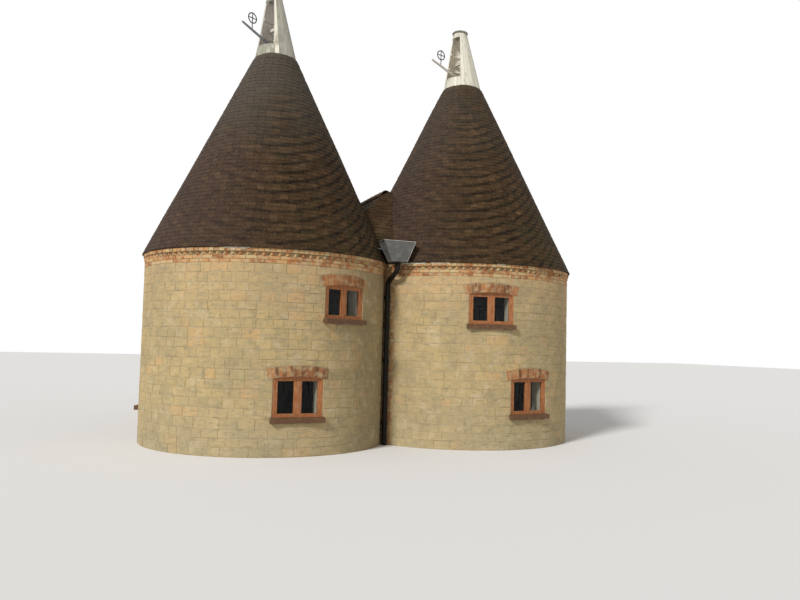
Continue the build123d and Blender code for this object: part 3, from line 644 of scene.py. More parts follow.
def ringOf(matrix, count, turn):
    # one block, copied round the upright axis
    bm = cubeOf(Matrix.Rotation(turn, 4, "Z") @ matrix)
    spun(bm, math.tau * (count - 1) / count, count - 1, copies=True)
    return bm


def rowOf(matrix, count, step):
    # one block, copied along a straight row
    bm = cubeOf(matrix)
    spun(bm, 0, count, step=step, copies=True)
    return bm


# Stones are laid flat in X along the wall, Y up and Z outwards, then put round the walls
stoneSheet = {
    "rise": 0.19, "swing": (0.86, 1.14), "lengths": (0.2, 0.4), "end": 0.09, "wander": 0.014, "slant": 0.008,
    "joint": 0.009, "proud": (0.001, 0.006), "rough": 0.0024, "smallest": 0.006,
}
quoins = {
    "reach": 0.33, "stretcher": 0.218, "rise": 0.075, "uneven": (0.006, 0.012),
    "joint": 0.011, "proud": (0.003, 0.008), "rough": 0.0015, "smallest": 0.003,
}
kilnSpans = {"left": (78.9, 334.4), "right": (-154.4, 82.3)}
sideLength = house["storeRear"] - house["storeMeet"]
storeWalls = {
    "left": (Vector((house["storeLeft"], house["storeRear"], 0)), Vector((0, -1, 0)), sideLength),
    "right": (Vector((house["storeRight"], house["storeMeet"], 0)), Vector((0, 1, 0)), sideLength),
    "rear": (Vector((house["storeRight"], house["storeRear"], 0)), Vector((-1, 0, 0)), 2 * house["storeHalf"]),
}


def courseLevels(top):
    # level beds from the ground up, the last one stretched to the top
    rise = stoneSheet["rise"]
    heights = [rise * dice.uniform(*stoneSheet["swing"]) for _ in range(round(top / rise))]
    scale = top / sum(heights)
    levels = [0.0]
    for height in heights:
        levels.append(levels[-1] + height * scale)
    return levels


def layCourses(length, levels):
    bm = bmesh.new()
    stone = bm.faces.layers.int.new("stone")
    shortest, longest = stoneSheet["lengths"]
    end, slant = stoneSheet["end"], stoneSheet["slant"]
    for low, high in zip(levels, levels[1:]):
        joints = [-dice.uniform(0, longest)]
        while joints[-1] < length:
            joints.append(joints[-1] + dice.uniform(shortest, longest))
        joints = [0.0] + [j for j in joints[1:-1] if end < j < length - end] + [length]
        count = len(joints) - 1
        for v in bmesh.ops.create_grid(bm, x_segments=count, y_segments=1, size=0.5)["verts"]:
            bed = high if v.co.y > 0 else low
            x = joints[round((v.co.x + 0.5) * count)]
            if levels[0] < bed < levels[-1]:
                bed += stoneSheet["wander"] * noise.noise(Vector((x * 0.8, bed * 1.7, 4)))
            if 0 < x < length:
                x += dice.uniform(-slant, slant)
            v.co = (x, bed, 0)
    for index, face in enumerate(bm.faces):
        face[stone] = index
    return bm


def mendStones(bm):
    # joins the parts that the cuts have made of one stone
    stone = bm.faces.layers.int["stone"]
    seams = [e for e in bm.edges if len({f[stone] for f in e.link_faces}) < len(e.link_faces)]
    bmesh.ops.dissolve_edges(bm, edges=seams, use_verts=True)
    bmesh.ops.dissolve_limit(bm, angle_limit=0.02, verts=bm.verts[:], edges=[])


def cutOut(bm, corners):
    # takes a convex opening, corners anticlockwise, out of the blocks that it touches
    low = [min(c[i] for c in corners) for i in (0, 1)]
    high = [max(c[i] for c in corners) for i in (0, 1)]
    touched = []
    for face in bm.faces:
        box = [[v.co[i] for v in face.verts] for i in (0, 1)]
        if all(min(box[i]) < high[i] and max(box[i]) > low[i] for i in (0, 1)):
            touched.append(face)
    for first, second in zip(corners, corners[1:] + corners[:1]):
        outward = Vector((second[1] - first[1], first[0] - second[0], 0))
        start = Vector((*first, 0))
        parts = set(touched)
        for face in touched:
            parts.update(face.edges, face.verts)
        if not parts:
            return
        cut = bmesh.ops.bisect_plane(bm, geom=list(parts), plane_co=start, plane_no=outward)
        faces = [g for g in cut["geom"] if isinstance(g, bmesh.types.BMFace)]
        touched = [f for f in faces if (f.calc_center_median() - start).dot(outward) < 0]
    bmesh.ops.delete(bm, geom=touched, context="FACES")


def archFan(crown, steps=6):
    # corners of an arch with its opening's head, as a convex fan
    outer = arch["soffit"] + arch["brick"]
    half = math.radians(arch["half"]) + arch["spare"] / outer
    centre = crown - arch["soffit"]
    fan = [(math.sin(half) * arch["soffit"] * s, centre + math.cos(half) * arch["soffit"]) for s in (-1, 1)]
    for step in range(steps + 1):
        turn, reach = half - 2 * half * step / steps, outer + arch["spare"]
        fan.append((reach * math.sin(turn), centre + reach * math.cos(turn)))
    return fan


def openingCuts(storey, bend):
    # the sheets' cuts for one window or door; bend turns a distance on the face plane into one along the wall
    bottom, crown = openings[storey]
    half = openings["width"] / 2 + openings["play"]
    spring = crown - openings["headRise"]
    cuts = [[(-half, bottom - 0.02), (half, bottom - 0.02), (half, spring), (-half, spring)], archFan(crown)]
    if storey != "door":
        horn, low, high = half + openings["sillHorn"], bottom - openings["sillDepth"], bottom + openings["play"]
        cuts.append([(-horn, low), (horn, low), (horn, high), (-horn, high)])
    return [[(bend(x), y) for x, y in cut] for cut in cuts]


def raiseBlocks(bm, look, cuts=1):
    # each face becomes a block of its own tone, with a joint round it and worn edges
    thinnest = 0.017
    spare = [f for f in bm.faces if f.calc_area() < look["smallest"] or f.calc_area() / f.calc_perimeter() < thinnest]
    bmesh.ops.delete(bm, geom=spare, context="FACES")
    bmesh.ops.split_edges(bm, edges=bm.edges[:])
    tone = bm.verts.layers.float.new("tone")
    for face in bm.faces:
        centre = face.calc_center_median()
        spans = [max(v.co[i] for v in face.verts) - min(v.co[i] for v in face.verts) for i in (0, 1)]
        shrink = [max(0.3, 1 - look["joint"] * dice.uniform(0.8, 1.4) / span) for span in spans]
        bmesh.ops.scale(bm, vec=(*shrink, 1), verts=face.verts[:], space=Matrix.Translation(-centre))
        shade = dice.random()
        for v in face.verts:
            v[tone] = shade
    raised = bmesh.ops.extrude_face_region(bm, geom=bm.faces[:], use_keep_orig=True)["geom"]
    tops = [g for g in raised if isinstance(g, bmesh.types.BMFace)]
    for face in tops:
        bmesh.ops.translate(bm, vec=(0, 0, dice.uniform(*look["proud"])), verts=face.verts[:])
    bmesh.ops.inset_individual(bm, faces=tops, thickness=0.009, depth=0.0025, use_even_offset=True)
    inner = {e for f in tops for e in f.edges}
    bmesh.ops.subdivide_edges(bm, edges=list(inner), cuts=cuts, use_grid_fill=True)
    for v in bm.verts:
        if v.co.z > look["proud"][0]:
            v.co.z += dice.uniform(-look["rough"], look["rough"])


def wrap(bm, place):
    # every place here turns X along the wall, Y up and Z outwards, so that faces keep pointing outwards
    for v in bm.verts:
        v.co = place(v.co)
    return bm


def roundWall(side, angle, flat=False):
    # bends a sheet round a kiln; flat means that X was taken on a window's own plane
    def place(co):
        turn = math.radians(angle) + (math.asin(co.x / radius) if flat else co.x / radius)
        reach = radius + co.z
        return Vector((kilnX[side] + reach * math.cos(turn), reach * math.sin(turn), co.y))

    return place


def flatWall(start, along):
    out = along.cross(Vector((0, 0, 1)))
    return lambda co: start + along * co.x + out * co.z + Vector((0, 0, co.y))


def alongWall(wall, place):
    # how far a window's middle is from the start of its wall
    start, along = storeWalls[wall][:2]
    spot = Vector((place, 0, 0)) if wall == "rear" else Vector((0, place, 0))
    return (spot - start).dot(along)


def addStones(bm, name, place, cuts):
    mendStones(bm)
    raiseBlocks(bm, stoneSheet, cuts)
    addPiece(wrap(bm, place), name, "stone")


kilnLevels = courseLevels(stoneHead)
storeLevels = courseLevels(house["gableTop"])
for side in sides:
    first, last = kilnSpans[side]
    bm = layCourses(radius * math.radians(last - first), kilnLevels)
    for angle, storey in kilnWindows[side]:
        middle = radius * math.radians(angle - first)
        for cut in openingCuts(storey, lambda x: middle + radius * math.asin(x / radius)):
            cutOut(bm, cut)
    if side == "right":
        cutOut(bm, [(-0.1, -0.1), (quoins["reach"], -0.1), (quoins["reach"], 5), (-0.1, 5)])
    addStones(bm, side + "_kiln_stones", roundWall(side, first), 2)

for wall, (start, along, length) in storeWalls.items():
    levels = storeLevels
    if wall != "rear":
        levels = [z for z in storeLevels if z < house["storeHead"] - 0.1] + [house["storeHead"]]
    bm = layCourses(length, levels)
    for place, storey in storeWindows[wall]:
        middle = alongWall(wall, place)
        for cut in openingCuts(storey, lambda x: middle + x):
            cutOut(bm, cut)
    if wall == "rear":
        slope = math.tan(storePitch)
        for sign in (-1, 1):
            peak = (house["storeHalf"], house["storeHead"] + house["storeHalf"] * slope, 0)
            cutAway(bm, peak, (sign * slope, 1, 0))
    addStones(bm, "store_" + wall + "_stones", flatWall(start, along), 1)

# Bricks in place of stones beside the pipe, where the right kiln meets its twin
bm = bmesh.new()
rows = round(stoneHead / quoins["rise"])
cutting, ragged = quoins["uneven"]
for row in range(rows):
    split = quoins["stretcher"] if row % 2 else quoins["reach"] - quoins["stretcher"]
    ends = [0.002, split + dice.uniform(-cutting, cutting), quoins["reach"] + dice.uniform(-ragged, 0)]
    for v in bmesh.ops.create_grid(bm, x_segments=2, y_segments=1, size=0.5)["verts"]:
        v.co = (ends[round((v.co.x + 0.5) * 2)], stoneHead * (row + (v.co.y > 0)) / rows, 0)
raiseBlocks(bm, quoins)
addPiece(wrap(bm, roundWall("right", kilnSpans["right"][0])), "quoin_bricks", "quoinBrick")
print("stones laid")


def atOpenings(target, makeOne, kilnPlace, doors):
    # one small part at every window, and at the door if it has one
    for side, windows in kilnWindows.items():
        for angle, storey in windows:
            joinInto(target, wrap(makeOne(storey), kilnPlace(side, angle)))
    for wall, windows in storeWindows.items():
        start, along = storeWalls[wall][:2]
        for place, storey in windows:
            if doors or storey != "door":
                spot = start + along * alongWall(wall, place)
                joinInto(target, wrap(makeOne(storey), flatWall(spot, along)))
    return target


def archBricks(storey):
    # a flat arch of bricks on end, as a fan on the wall's face
    crown = openings[storey][1]
    middle = arch["soffit"] + arch["brick"] / 2
    pitch = 2 * math.radians(arch["half"]) / arch["count"]
    centre = Vector((0, crown - arch["soffit"], 0))
    size = (pitch * middle - arch["joint"], arch["brick"] - 0.008, arch["depth"])
    bm = cubeOf(boxAt(centre + Vector((0, middle, arch["proud"] - arch["depth"] / 2)), size))
    half = pitch * (arch["count"] - 1) / 2
    turnBy(bm, -half, "Z", centre)
    spun(bm, 2 * half, arch["count"] - 1, centre=centre, copies=True)
    giveTones(bm, arch["tones"])
    for block in blocksOf(bm):
        lift = dice.uniform(*arch["lift"])
        for v in block:
            v.co += Vector((dice.uniform(-0.002, 0.002), dice.uniform(-0.003, 0.003), lift))
    return bm


def bentBack(side, angle):
    return roundWall(side, angle, True)


addPiece(atOpenings(newTarget(), archBricks, bentBack, True), "arch_bricks", "archBrick")

# Plaster on the jambs behind the frames
lining = {"face": 0.425, "back": 0.524, "front": -0.133, "deep": 0.39, "bevel": 0.012}


def windowPlane(side, angle):
    turn = math.radians(angle)
    out = Vector((math.cos(turn), math.sin(turn), 0))
    return flatWall(Vector((kilnX[side], 0, 0)) + out * radius, Vector((0, 0, 1)).cross(out))


def liningPair(storey):
    bm = bmesh.new()
    bottom, crown = openings[storey]
    top = crown - openings["headRise"] - openings["play"]
    size = (lining["back"] - lining["face"], top - bottom, lining["front"] + lining["deep"])
    across, inwards = (lining["face"] + lining["back"]) / 2, (lining["front"] - lining["deep"]) / 2
    for x in (-across, across):
        bmesh.ops.create_cube(bm, size=1, matrix=boxAt((x, (bottom + top) / 2, inwards), size))
    edges = [e for e in bm.edges if abs(e.verts[0].co.y - e.verts[1].co.y) > 0.1]
    bmesh.ops.bevel(bm, geom=edges, offset=lining["bevel"], affect="EDGES", segments=2, profile=0.5, material=-1)
    return bm


addPiece(atOpenings(bmesh.new(), liningPair, windowPlane, False), "jamb_linings", "plaster")

# Bricks and mortar of the bands under the cones: two plain courses, one set cornerwise, one a cornice
band = {
    "courses": 4, "rise": 0.075, "pitch": 0.225, "joint": 0.010, "back": 2.744, "cornice": 0.038, "flush": 0.005,
    "depth": 0.10, "tooth": 0.107, "toothCentre": 2.698, "teeth": 110, "recess": 2.712, "over": 0.03,
}


def trimAtValley(bm, side):
    # drops what lies past the plane between the kilns, and closes what was cut
    shift(bm, (kilnX[side], 0, 0))
    cut = cutAway(bm, (sides[side] * 0.0008, 0, 0), (-sides[side], 0, 0))
    edges = [g for g in cut["geom_cut"] if isinstance(g, bmesh.types.BMEdge)]
    bmesh.ops.holes_fill(bm, edges=edges, sides=0)
    faceOut(bm)


for side in sides:
    bm = newTarget()
    for course in range(band["courses"]):
        middle = stoneHead + (course + 0.5) * band["rise"]
        toothed, cornice = course == 2, course == 3
        high = band["rise"] - band["joint"]
        if toothed:
            # bricks set cornerwise, their edges in line with the wall
            count = band["teeth"]
            size = (band["tooth"], band["tooth"], high)
            brick = boxAt((band["toothCentre"], 0, middle), size, Matrix.Rotation(math.pi / 4, 4, "Z"))
        else:
            count = 2 * round(math.pi * radius / (band["pitch"] / 2 if cornice else band["pitch"]))
            front = radius + (band["cornice"] if cornice else band["flush"])
            size = (band["depth"], math.tau * radius / count - band["joint"], high)
            brick = boxAt((front - band["depth"] / 2, 0, middle), size)
        row = ringOf(brick, count, dice.random())
        for block in blocksOf(row):
            inset = dice.uniform(-0.003, 0.003)
            for v in block:
                v.co -= Vector((v.co.x, v.co.y, 0)).normalized() * inset
                v.co.z += dice.uniform(-0.002, 0.002)
        giveTones(row)
        joinInto(bm, row)
    trimAtValley(bm, side)
    addPiece(bm, side + "_band_bricks", "bandBrick")

    # mortar backing that the bricks are bedded in, in the band's place
    inner, back, over = house["kilnInner"], band["back"], band["back"] + band["over"]
    low, high = stoneHead + 2 * band["rise"], stoneHead + 3 * band["rise"]
    bm = outlineOf((
        (inner, 0, stoneHead), (back, 0, stoneHead), (back, 0, low), (band["recess"], 0, low),
        (band["recess"], 0, high), (over, 0, high), (over, 0, eavesHeight), (inner, 0, eavesHeight),
    ))
    spun(bm, math.tau, 96)
    bmesh.ops.remove_doubles(bm, verts=bm.verts[:], dist=0.0005)
    trimAtValley(bm, side)
    addPiece(bm, side + "_band_mortar", "mortar", [side + "_eaves_band"])

# What is left of the mortar fillet under the tiles' edge, from one angle to another
fillet = {
    "reach": 2.796, "depth": 0.022, "height": 0.034, "slant": 0.010, "crumble": 0.016,
    "left": ((240, 251),), "right": ((216, 229), (231, 240), (262, 266)),
}
bm = bmesh.new()
for side in sides:
    for first, last in fillet[side]:
        low, reach, back = eavesHeight - fillet["height"], fillet["reach"], fillet["reach"] - fillet["depth"]
        foot = reach - fillet["slant"]
        part = outlineOf(((back, 0, low), (foot, 0, low), (reach, 0, eavesHeight), (back, 0, eavesHeight)))
        turnBy(part, math.radians(first))
        spun(part, math.radians(last - first), (last - first) * 3)
        for v in part.verts:
            if v.co.z < eavesHeight - 0.01:
                v.co.z += fillet["crumble"] * noise.noise(v.co * 9) + dice.uniform(-0.003, 0.003)
        closeHoles(part)
        shift(part, (kilnX[side], 0, 0))
        joinInto(bm, part)
faceOut(bm)
addPiece(bm, "eaves_fillets", "fillet")
print("bricks laid")

# Clay tiles, row by row
tiles = {
    "gauge": 0.1, "length": 0.162, "width": 0.165, "thick": 0.012, "lift": 0.004, "tilt": 3.6, "gap": 0.003,
    "slide": 0.004, "twist": 0.003,
}


def tileMatrix(foot, up, across, wide):
    # a tile lying on a slope with its tail at foot
    out = across.cross(up)
    tilt = math.radians(tiles["tilt"])
    rise = up * math.cos(tilt) - out * math.sin(tilt)
    face = out * math.cos(tilt) + up * math.sin(tilt)
    centre = foot + rise * tiles["length"] / 2 + face * (tiles["thick"] / 2 + tiles["lift"])
    turned = Matrix((across, rise, face)).transposed().to_4x4()
    return boxAt(centre, (wide, tiles["length"], tiles["thick"]), turned)


def tileTones(bm):
    # each tile's own shade and small slips
    bm.verts.index_update()
    tone = bm.verts.layers.float.new("tone")
    slide, twist = tiles["slide"], tiles["twist"]
    for block in blocksOf(bm):
        shade = 0.5 + dice.gauss(0, 0.13) + 0.2 * noise.noise(middleOf(block) * 1.3)
        slid, twisted = dice.uniform(-slide, slide), dice.uniform(-twist, twist)
        for v in block:
            v[tone] = min(1, max(0, shade))
            v.co.z += slid + (twisted if v.index % 2 else -twisted)


def slopeTiles(eaves, up, across, rows, count, step):
    # rows up a flat slope, every other one set half a tile over
    bm = bmesh.new()
    for row in range(rows):
        foot = eaves + up * row * tiles["gauge"] + step * (row % 2) / 2
        joinInto(bm, rowOf(tileMatrix(foot, up, across, tiles["width"] - tiles["gap"]), count, step))
    tileTones(bm)
    return bm


half = math.radians(house["halfAngle"])
up = Vector((-math.sin(half), 0, math.cos(half)))
slant = (house["eavesRadius"] - house["topRadius"]) / math.sin(half)
for side in sides:
    bm = bmesh.new()
    for row in range(int(slant / tiles["gauge"])):
        foot = Vector((house["eavesRadius"], 0, eavesHeight)) + up * row * tiles["gauge"]
        count = max(16, round(math.tau * foot.x / tiles["width"]))
        wide = math.tau * (foot.x - 0.02) / count - tiles["gap"]
        turn = (row % 2) * math.pi / count + dice.uniform(0, 0.01)
        joinInto(bm, ringOf(tileMatrix(foot, up, Vector((0, 1, 0)), wide), count, turn))
    for v in bm.verts:
        # the old roof's gentle waves
        turn = math.atan2(v.co.y, v.co.x)
        v.co.z += 0.006 * math.sin(3 * turn + v.co.z * 2.2) + 0.004 * math.sin(7 * turn - v.co.z * 3.1)
    tileTones(bm)
    trimAtValley(bm, side)
    addPiece(bm, side + "_cone_tiles", side + "Tiles")

storeRoof = {
    "ridgeFront": -0.0999, "hipFoot": -1.1856, "hipHeight": 4.70, "hipPitch": 52.0, "hipTiles": 28,
    "reach": 2.58, "verge": 9.08,
}
hip = math.radians(storeRoof["hipPitch"])
hipTop = (house["storeAxis"], storeRoof["ridgeFront"], 0)
hipLines = {sign: Vector((sign * math.tan(storePitch), math.tan(hip), 0)) for sign in (-1, 1)}
for side, sign in sides.items():
    up = Vector((-sign * math.cos(storePitch), 0, math.sin(storePitch)))
    eaves = Vector((
        house["storeAxis"] + sign * storeRoof["reach"], storeRoof["verge"] - tiles["width"] / 2,
        ridgeHeight - storeRoof["reach"] * math.tan(storePitch),
    ))
    rows = int(storeRoof["reach"] / math.cos(storePitch) / tiles["gauge"])
    count = int((storeRoof["verge"] - storeRoof["hipFoot"]) / tiles["width"])
    bm = slopeTiles(eaves, up, Vector((0, sign, 0)), rows, count, Vector((0, -tiles["width"], 0)))
    cutAway(bm, hipTop, -hipLines[sign])
    faceOut(bm)
    addPiece(bm, "store_tiles_" + side, "tiles")

up = Vector((0, math.cos(hip), math.sin(hip)))
eaves = Vector((
    house["storeAxis"] - storeRoof["hipTiles"] / 2 * tiles["width"], storeRoof["hipFoot"], storeRoof["hipHeight"],
))
rows = int((storeRoof["ridgeFront"] - storeRoof["hipFoot"]) / math.cos(hip) / tiles["gauge"])
bm = slopeTiles(eaves, up, Vector((1, 0, 0)), rows + 1, storeRoof["hipTiles"], Vector((tiles["width"], 0, 0)))
for line in hipLines.values():
    cutAway(bm, hipTop, line)
faceOut(bm)
addPiece(bm, "store_tiles_hip", "tiles")

# Half-round ridge tiles, each lapped over the next
ridge = {
    "radius": 0.125, "lip": 0.006, "lipLength": 0.02, "wall": 0.016, "length": 0.32, "pitch": 0.3, "drop": 0.055,
    "from": 0.18,  # how far behind the hip's top the row starts
}
lip = ridge["radius"] + ridge["lip"]
bm = outlineOf((
    (lip, 0, 0), (lip, ridge["lipLength"], 0), (ridge["radius"], ridge["lipLength"], 0),
    (ridge["radius"], ridge["length"], 0),
), closed=False)
spun(bm, math.pi, 12, axis=(0, -1, 0))
faceOut(bm)
bmesh.ops.solidify(bm, geom=bm.faces[:], thickness=ridge["wall"])
start = Vector((house["storeAxis"], storeRoof["ridgeFront"] + ridge["from"], ridgeHeight - ridge["drop"]))
shift(bm, start)
size = len(bm.verts)
run = storeRoof["verge"] - start.y - ridge["length"]
count = round(run / ridge["pitch"])
spun(bm, 0, count, step=(0, run / count, 0), copies=True)  # the last one ends at the verge
tone = bm.verts.layers.float.new("tone")
for block in blocksOf(bm, size):
    shade = dice.uniform(0.35, 0.95)
    lift = Vector((dice.uniform(-0.006, 0.006), 0, dice.uniform(-0.004, 0.006)))
    for v in block:
        v[tone] = shade
        v.co += lift
faceOut(bm)
addPiece(bm, "ridge_tile_row", "tiles", ["store_ridge_tiles"])
print("tiles laid")

# Cowls: boards on hoops, leaning towards the vane
cowl = {
    "base": roofTop + 0.02, "height": 1.53, "foot": 0.493, "top": 0.18, "lean": 0.115, "board": 0.024, "count": 28,
    "skirt": 0.28, "hood": 0.13, "opening": 96.0, "gap": 0.005, "slip": 0.014,
    "inside": {"left": 0.1, "right": 0.9},  # how pale the boards are within
    "hoops": (0.05, 0.225, 0.62, 1.0, 1.41), "hoop": (0.03, 0.045),
}


def leanMatrix(side):
    # leans the upright cone and turns it towards its vane
    lean = Matrix()
    lean[0][2] = cowl["lean"] / cowl["height"]
    turn = Matrix.Rotation(math.radians(house["vaneTurn"][side]), 4, "Z")
    return Matrix.Translation((kilnX[side], 0, cowl["base"])) @ turn @ lean


def cowlTones(side, seen):
    # how white and how green a board is; the left cowl is the greener, with a white board beside its mouth, white paint
    # with a painted highlight, and a dark olive board beside that, a painted shadow
    if side == "right":
        return dice.uniform(0.55, 1.0), dice.uniform(0.0, 0.25)
    if -100 < seen < -8:
        return dice.uniform(0.1, 0.4), dice.uniform(0.8, 1.0)
    # white paint with a painted highlight on the board beside the mouth
    if -8 < seen < 8:
        return 1.0, 0.0
    # painted shadow: a dark olive board beside the white one
    if 8 < seen < 20:
        return 0.1, 0.7
    return dice.uniform(0.15, 0.65), dice.uniform(0.1, 0.45)


def cowlReach(level):
    return cowl["foot"] + (cowl["top"] - cowl["foot"]) * level / cowl["height"]


def boardRing(low, high, inMouth):
    # boards from one height to another: those across the mouth, or all the others
    bm = ringOf(boxAt((-cowl["foot"], 0, (low + high) / 2), (cowl["board"], 1, high - low)), cowl["count"], 0)
    spare = []
    for block in blocksOf(bm):
        spot = middleOf(block)
        turn = Matrix.Rotation(math.atan2(spot.y, spot.x), 4, "Z")
        for level in (low, high):
            end = [v for v in block if abs(v.co.z - level) < 0.001]
            wide = math.tau * cowlReach(level) / cowl["count"] - cowl["gap"]
            bmesh.ops.scale(bm, vec=(1, wide, 1), verts=end, space=turn.inverted())
            inward = cowlReach(level) - cowl["foot"] - cowl["board"] / 2
            bmesh.ops.translate(bm, vec=turn @ Vector((inward, 0, 0)), verts=end)
        away = math.degrees(abs(math.atan2(spot.y, spot.x)))
        if (away < cowl["opening"] / 2) != inMouth:
            spare.extend(block)
    bmesh.ops.delete(bm, geom=spare, context="VERTS")
    return bm


for side in sides:
    bm = newTarget()
    joinInto(bm, boardRing(0, cowl["height"], False))
    joinInto(bm, boardRing(0, cowl["skirt"], True))
    joinInto(bm, boardRing(cowl["height"] - cowl["hood"], cowl["height"], True))
    shade, within = (bm.verts.layers.float.new(name) for name in ("shade", "within"))
    tone = bm.verts.layers.float["tone"]
    for block in blocksOf(bm):
        middle = middleOf(block)
        seen = math.degrees(math.atan2(middle.y, middle.x)) + house["vaneTurn"][side] - house["facing"][side]
        seen = (seen + 180) % 360 - 180  # 0 looks at the viewer, below 0 is to the left
        value, green = cowlTones(side, seen)
        slip = dice.uniform(0, cowl["slip"])
        for v in block:
            inner = v.co.xy.length < cowlReach(v.co.z) - cowl["board"] / 2
            v[tone] = cowl["inside"][side] if inner else value
            v[shade] = green
            v[within] = inner
            if v.co.z < 0.1:
                v.co.z += slip
    bmesh.ops.transform(bm, matrix=leanMatrix(side), verts=bm.verts[:])
    faceOut(bm)
    addPiece(bm, side + "_cowl_boards", "cowl", [side + "_cowl_shell"], side + "_cowl")

    # hoops inside the boards, those at the mouth's height left open across it
    bm = newTarget()
    for level in cowl["hoops"]:
        across = cowl["skirt"] < level < cowl["height"] - cowl["hood"]
        mouth = math.radians(cowl["opening"] + 1) if across else 0
        outer, top = cowlReach(level) - cowl["board"] - 0.002, level + cowl["hoop"][1]
        inner = outer - cowl["hoop"][0]
        hoop = outlineOf(((inner, 0, level), (outer, 0, level), (outer, 0, top), (inner, 0, top)))
        turnBy(hoop, mouth / 2)
        spun(hoop, math.tau - mouth, 40)
        if across:
            closeHoles(hoop)
        joinInto(bm, hoop)
    bmesh.ops.remove_doubles(bm, verts=bm.verts[:], dist=0.0005)
    faceOut(bm)
    within = bm.verts.layers.float.new("within")
    tone = bm.verts.layers.float["tone"]
    for v in bm.verts:
        v[tone], v[within] = cowl["inside"][side], 1
    bmesh.ops.transform(bm, matrix=leanMatrix(side), verts=bm.verts[:])
    addPiece(bm, side + "_cowl_hoops", "cowl", body=side + "_cowl")
print("cowls made")

# Collars on the downpipe
pipe = {"x": 0.010, "reach": 2.835, "radius": 0.055, "collar": 0.0665, "bead": 0.004, "levels": (0.42, 1.26, 2.62)}
inner, rim = pipe["radius"] + 0.0005, pipe["collar"]
neck = rim - pipe["bead"]
outline = ((inner, 0), (neck, 0), (neck, 0.05), (rim, 0.056), (rim, 0.08), (neck, 0.085), (inner, 0.085))
bm = bmesh.new()
for level in pipe["levels"]:
    collar = outlineOf([(x, 0, level + z) for x, z in outline], closed=False)
    spun(collar, math.tau, 28)
    closeHoles(collar)
    joinInto(bm, collar)
shift(bm, (pipe["x"], -math.sqrt(pipe["reach"] ** 2 - (house["halfSpacing"] - pipe["x"]) ** 2), 0))
faceOut(bm)
addPiece(bm, "pipe_collars", "pipe")

# The hopper's edges: a rolled rim and folded corners; the front top rim and the front right corner are paler lead, a
# painted highlight
hopper = {"foot": (0.365, 0.24), "top": (0.76, 0.35), "rim": 0.011, "seam": 0.007}
low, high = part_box("hopper_head")


def hopperCorners(size, level):
    middle, corners = (low.x + high.x) / 2, ((-1, 0), (1, 0), (1, 1), (-1, 1))
    return [Vector((middle + x * size[0] / 2, low.y + y * size[1], level)) for x, y in corners]


def rod(start, end, thick):
    bm = bmesh.new()
    run = end - start
    turned = run.to_track_quat("Z", "Y").to_matrix().to_4x4()
    bmesh.ops.create_cone(
        bm, cap_ends=True, segments=10, radius1=thick, radius2=thick, depth=run.length,
        matrix=Matrix.Translation((start + end) / 2) @ turned,
    )
    return bm


# rim takes the front top rim and the front right corner, painted paler as a highlight
edges, rim = bmesh.new(), bmesh.new()
top = hopperCorners(hopper["top"], high.z - hopper["rim"])
foot = hopperCorners(hopper["foot"], low.z + 0.005)
for corner, (start, end) in enumerate(zip(top, top[1:] + top[:1])):
    joinInto(edges if corner else rim, rod(start, end, hopper["rim"]))
for corner, (start, end) in enumerate(zip(foot, top)):
    joinInto(rim if corner == 1 else edges, rod(start, end, hopper["seam"]))
for start, end in zip(foot, foot[1:] + foot[:1]):
    joinInto(edges, rod(start, end, hopper["seam"]))
addPiece(edges, "hopper_edges", "lead")
addPiece(rim, "hopper_front_rim_highlight", "leadHighlight")

# Strap hinges and a ring pull on the rear door
iron = {
    "strap": (0.62, 0.006, 0.045), "ends": (0.14, 0.86), "inset": 0.04, "bevel": 0.0018,
    "knuckle": 0.011, "nail": 0.007, "nails": 4, "nailPitch": 0.15, "ring": 0.038, "wire": 0.006,
}
low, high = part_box("store_door")
long, thick = iron["strap"][:2]
bm = bmesh.new()
for share in iron["ends"]:
    level = low.z + (high.z - low.z) * share
    strap = cubeOf(boxAt((high.x - iron["inset"] - long / 2, high.y + thick / 2, level), iron["strap"]))
    tip = [v for v in strap.verts if v.co.x < high.x - 0.3]
    bmesh.ops.scale(strap, vec=(1, 1, 0.4), verts=tip, space=Matrix.Translation((0, 0, -level)))
    bmesh.ops.bevel(
        strap, geom=strap.edges[:], offset=iron["bevel"], affect="EDGES", segments=2, profile=0.5, material=-1,
    )
    joinInto(bm, strap)
    spot, reach = Vector((high.x - 0.03, high.y + 0.009, level)), Vector((0, 0, 0.035))
    joinInto(bm, rod(spot - reach, spot + reach, iron["knuckle"]))
    for step in range(iron["nails"]):
        nail = boxAt((high.x - 0.1 - iron["nailPitch"] * step, high.y + thick, level), (1, 0.6, 1))
        head = bmesh.new()
        bmesh.ops.create_uvsphere(head, u_segments=10, v_segments=6, radius=iron["nail"], matrix=nail)
        joinInto(bm, head)
pull = bmesh.new()
spot = Vector((low.x + 0.1, high.y + 0.012, (low.z + high.z) / 2))
upright = Matrix.Translation((iron["ring"], 0, 0)) @ Matrix.Rotation(math.pi / 2, 4, "X")
bmesh.ops.create_circle(pull, segments=8, radius=iron["wire"], matrix=upright)
spun(pull, math.tau, 24)
turnBy(pull, math.pi / 2, "X")
shift(pull, spot)
joinInto(bm, pull)
joinInto(bm, rod(spot + Vector((0, -0.012, iron["ring"])), spot + Vector((0, 0.008, iron["ring"])), 0.012))
faceOut(bm)
addPiece(bm, "door_ironwork", "iron")
print("ironwork made")

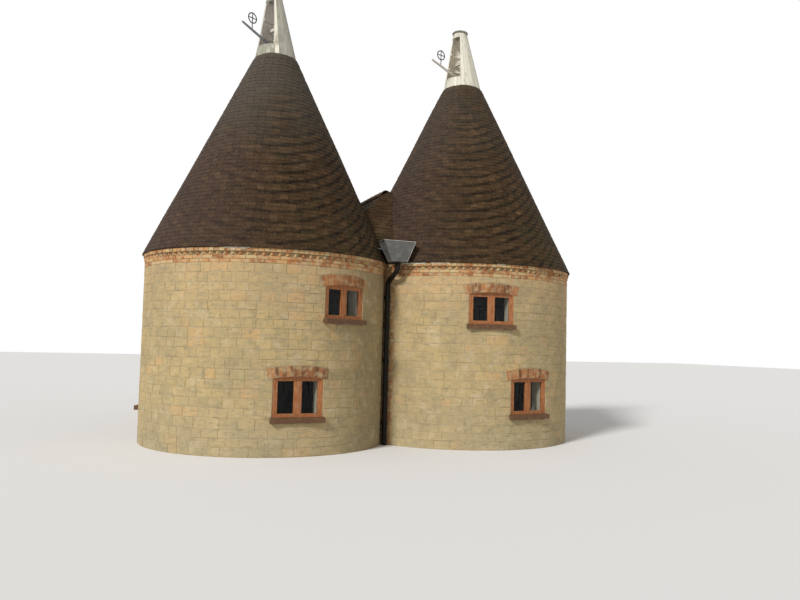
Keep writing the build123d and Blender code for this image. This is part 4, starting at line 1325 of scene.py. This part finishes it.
# Camera, sun, sky and ground
scene = bpy.context.scene
view = {"spot": (-5.961, -17.35, 2.305), "yaw": 21.479, "pitch": 3.364, "roll": 1.436, "lens": 33.42}
camera = bpy.data.objects.new("camera", bpy.data.cameras.new("camera"))
camera.data.lens, camera.data.sensor_width = view["lens"], 36.0
yaw, tilt, roll = (math.radians(view[k]) for k in ("yaw", "pitch", "roll"))
ahead = Vector((math.sin(yaw) * math.cos(tilt), math.cos(yaw) * math.cos(tilt), math.sin(tilt)))
right = Vector((math.cos(yaw), -math.sin(yaw), 0))
above = right.cross(ahead)
rolled = right * math.cos(roll) + above * math.sin(roll)
upright = above * math.cos(roll) - right * math.sin(roll)
camera.matrix_world = Matrix.Translation(view["spot"]) @ Matrix((rolled, upright, -ahead)).transposed().to_4x4()
scene.collection.objects.link(camera)
scene.camera = camera

lights = {"sun": 2.6, "angle": 10.0, "elevation": 36.0, "azimuth": 215.0, "sky": 0.44}
sun = bpy.data.objects.new("sun", bpy.data.lights.new("sun", "SUN"))
sun.data.energy, sun.data.angle = lights["sun"], math.radians(lights["angle"])
turn, lift = math.radians(lights["azimuth"]), math.radians(lights["elevation"])
toSun = Vector((math.cos(turn) * math.cos(lift), math.sin(turn) * math.cos(lift), math.sin(lift)))
sun.rotation_mode = "QUATERNION"
sun.rotation_quaternion = toSun.to_track_quat("Z", "Y")
scene.collection.objects.link(sun)

# The sky is white to the camera and in gloss and glass, and dimmer as a light
world = bpy.data.worlds.new("studio")
scene.world = world
world.use_nodes = True
studio = Graph(world.node_tree)
kinds = ("Is Camera Ray", "Is Glossy Ray", "Is Transmission Ray")
rays = [studio.node("ShaderNodeLightPath", output=kind) for kind in kinds]
seen = studio.maths("MAXIMUM", studio.maths("MAXIMUM", rays[0], rays[1]), rays[2])
sky = studio.tree.nodes["Background"]
studio.plug(sky.inputs["Color"], (1, 1, 1))
studio.plug(sky.inputs["Strength"], studio.spread(seen, 0.0, 1.0, lights["sky"], 1.0))

bm = bmesh.new()
bmesh.ops.create_grid(bm, x_segments=2, y_segments=2, size=90)
paper = Finish("paleFloor", 0.95, 0.1)
makeObject(bm, "ground", paper.dress((0.80, 0.79, 0.77)))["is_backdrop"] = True

scene.view_settings.view_transform = "Standard"

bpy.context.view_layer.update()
triangles = {o.name: sum(len(p.vertices) - 2 for p in o.data.polygons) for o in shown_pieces()}
print("triangles:", sum(triangles.values()), "largest:", max(triangles, key=triangles.get), max(triangles.values()))
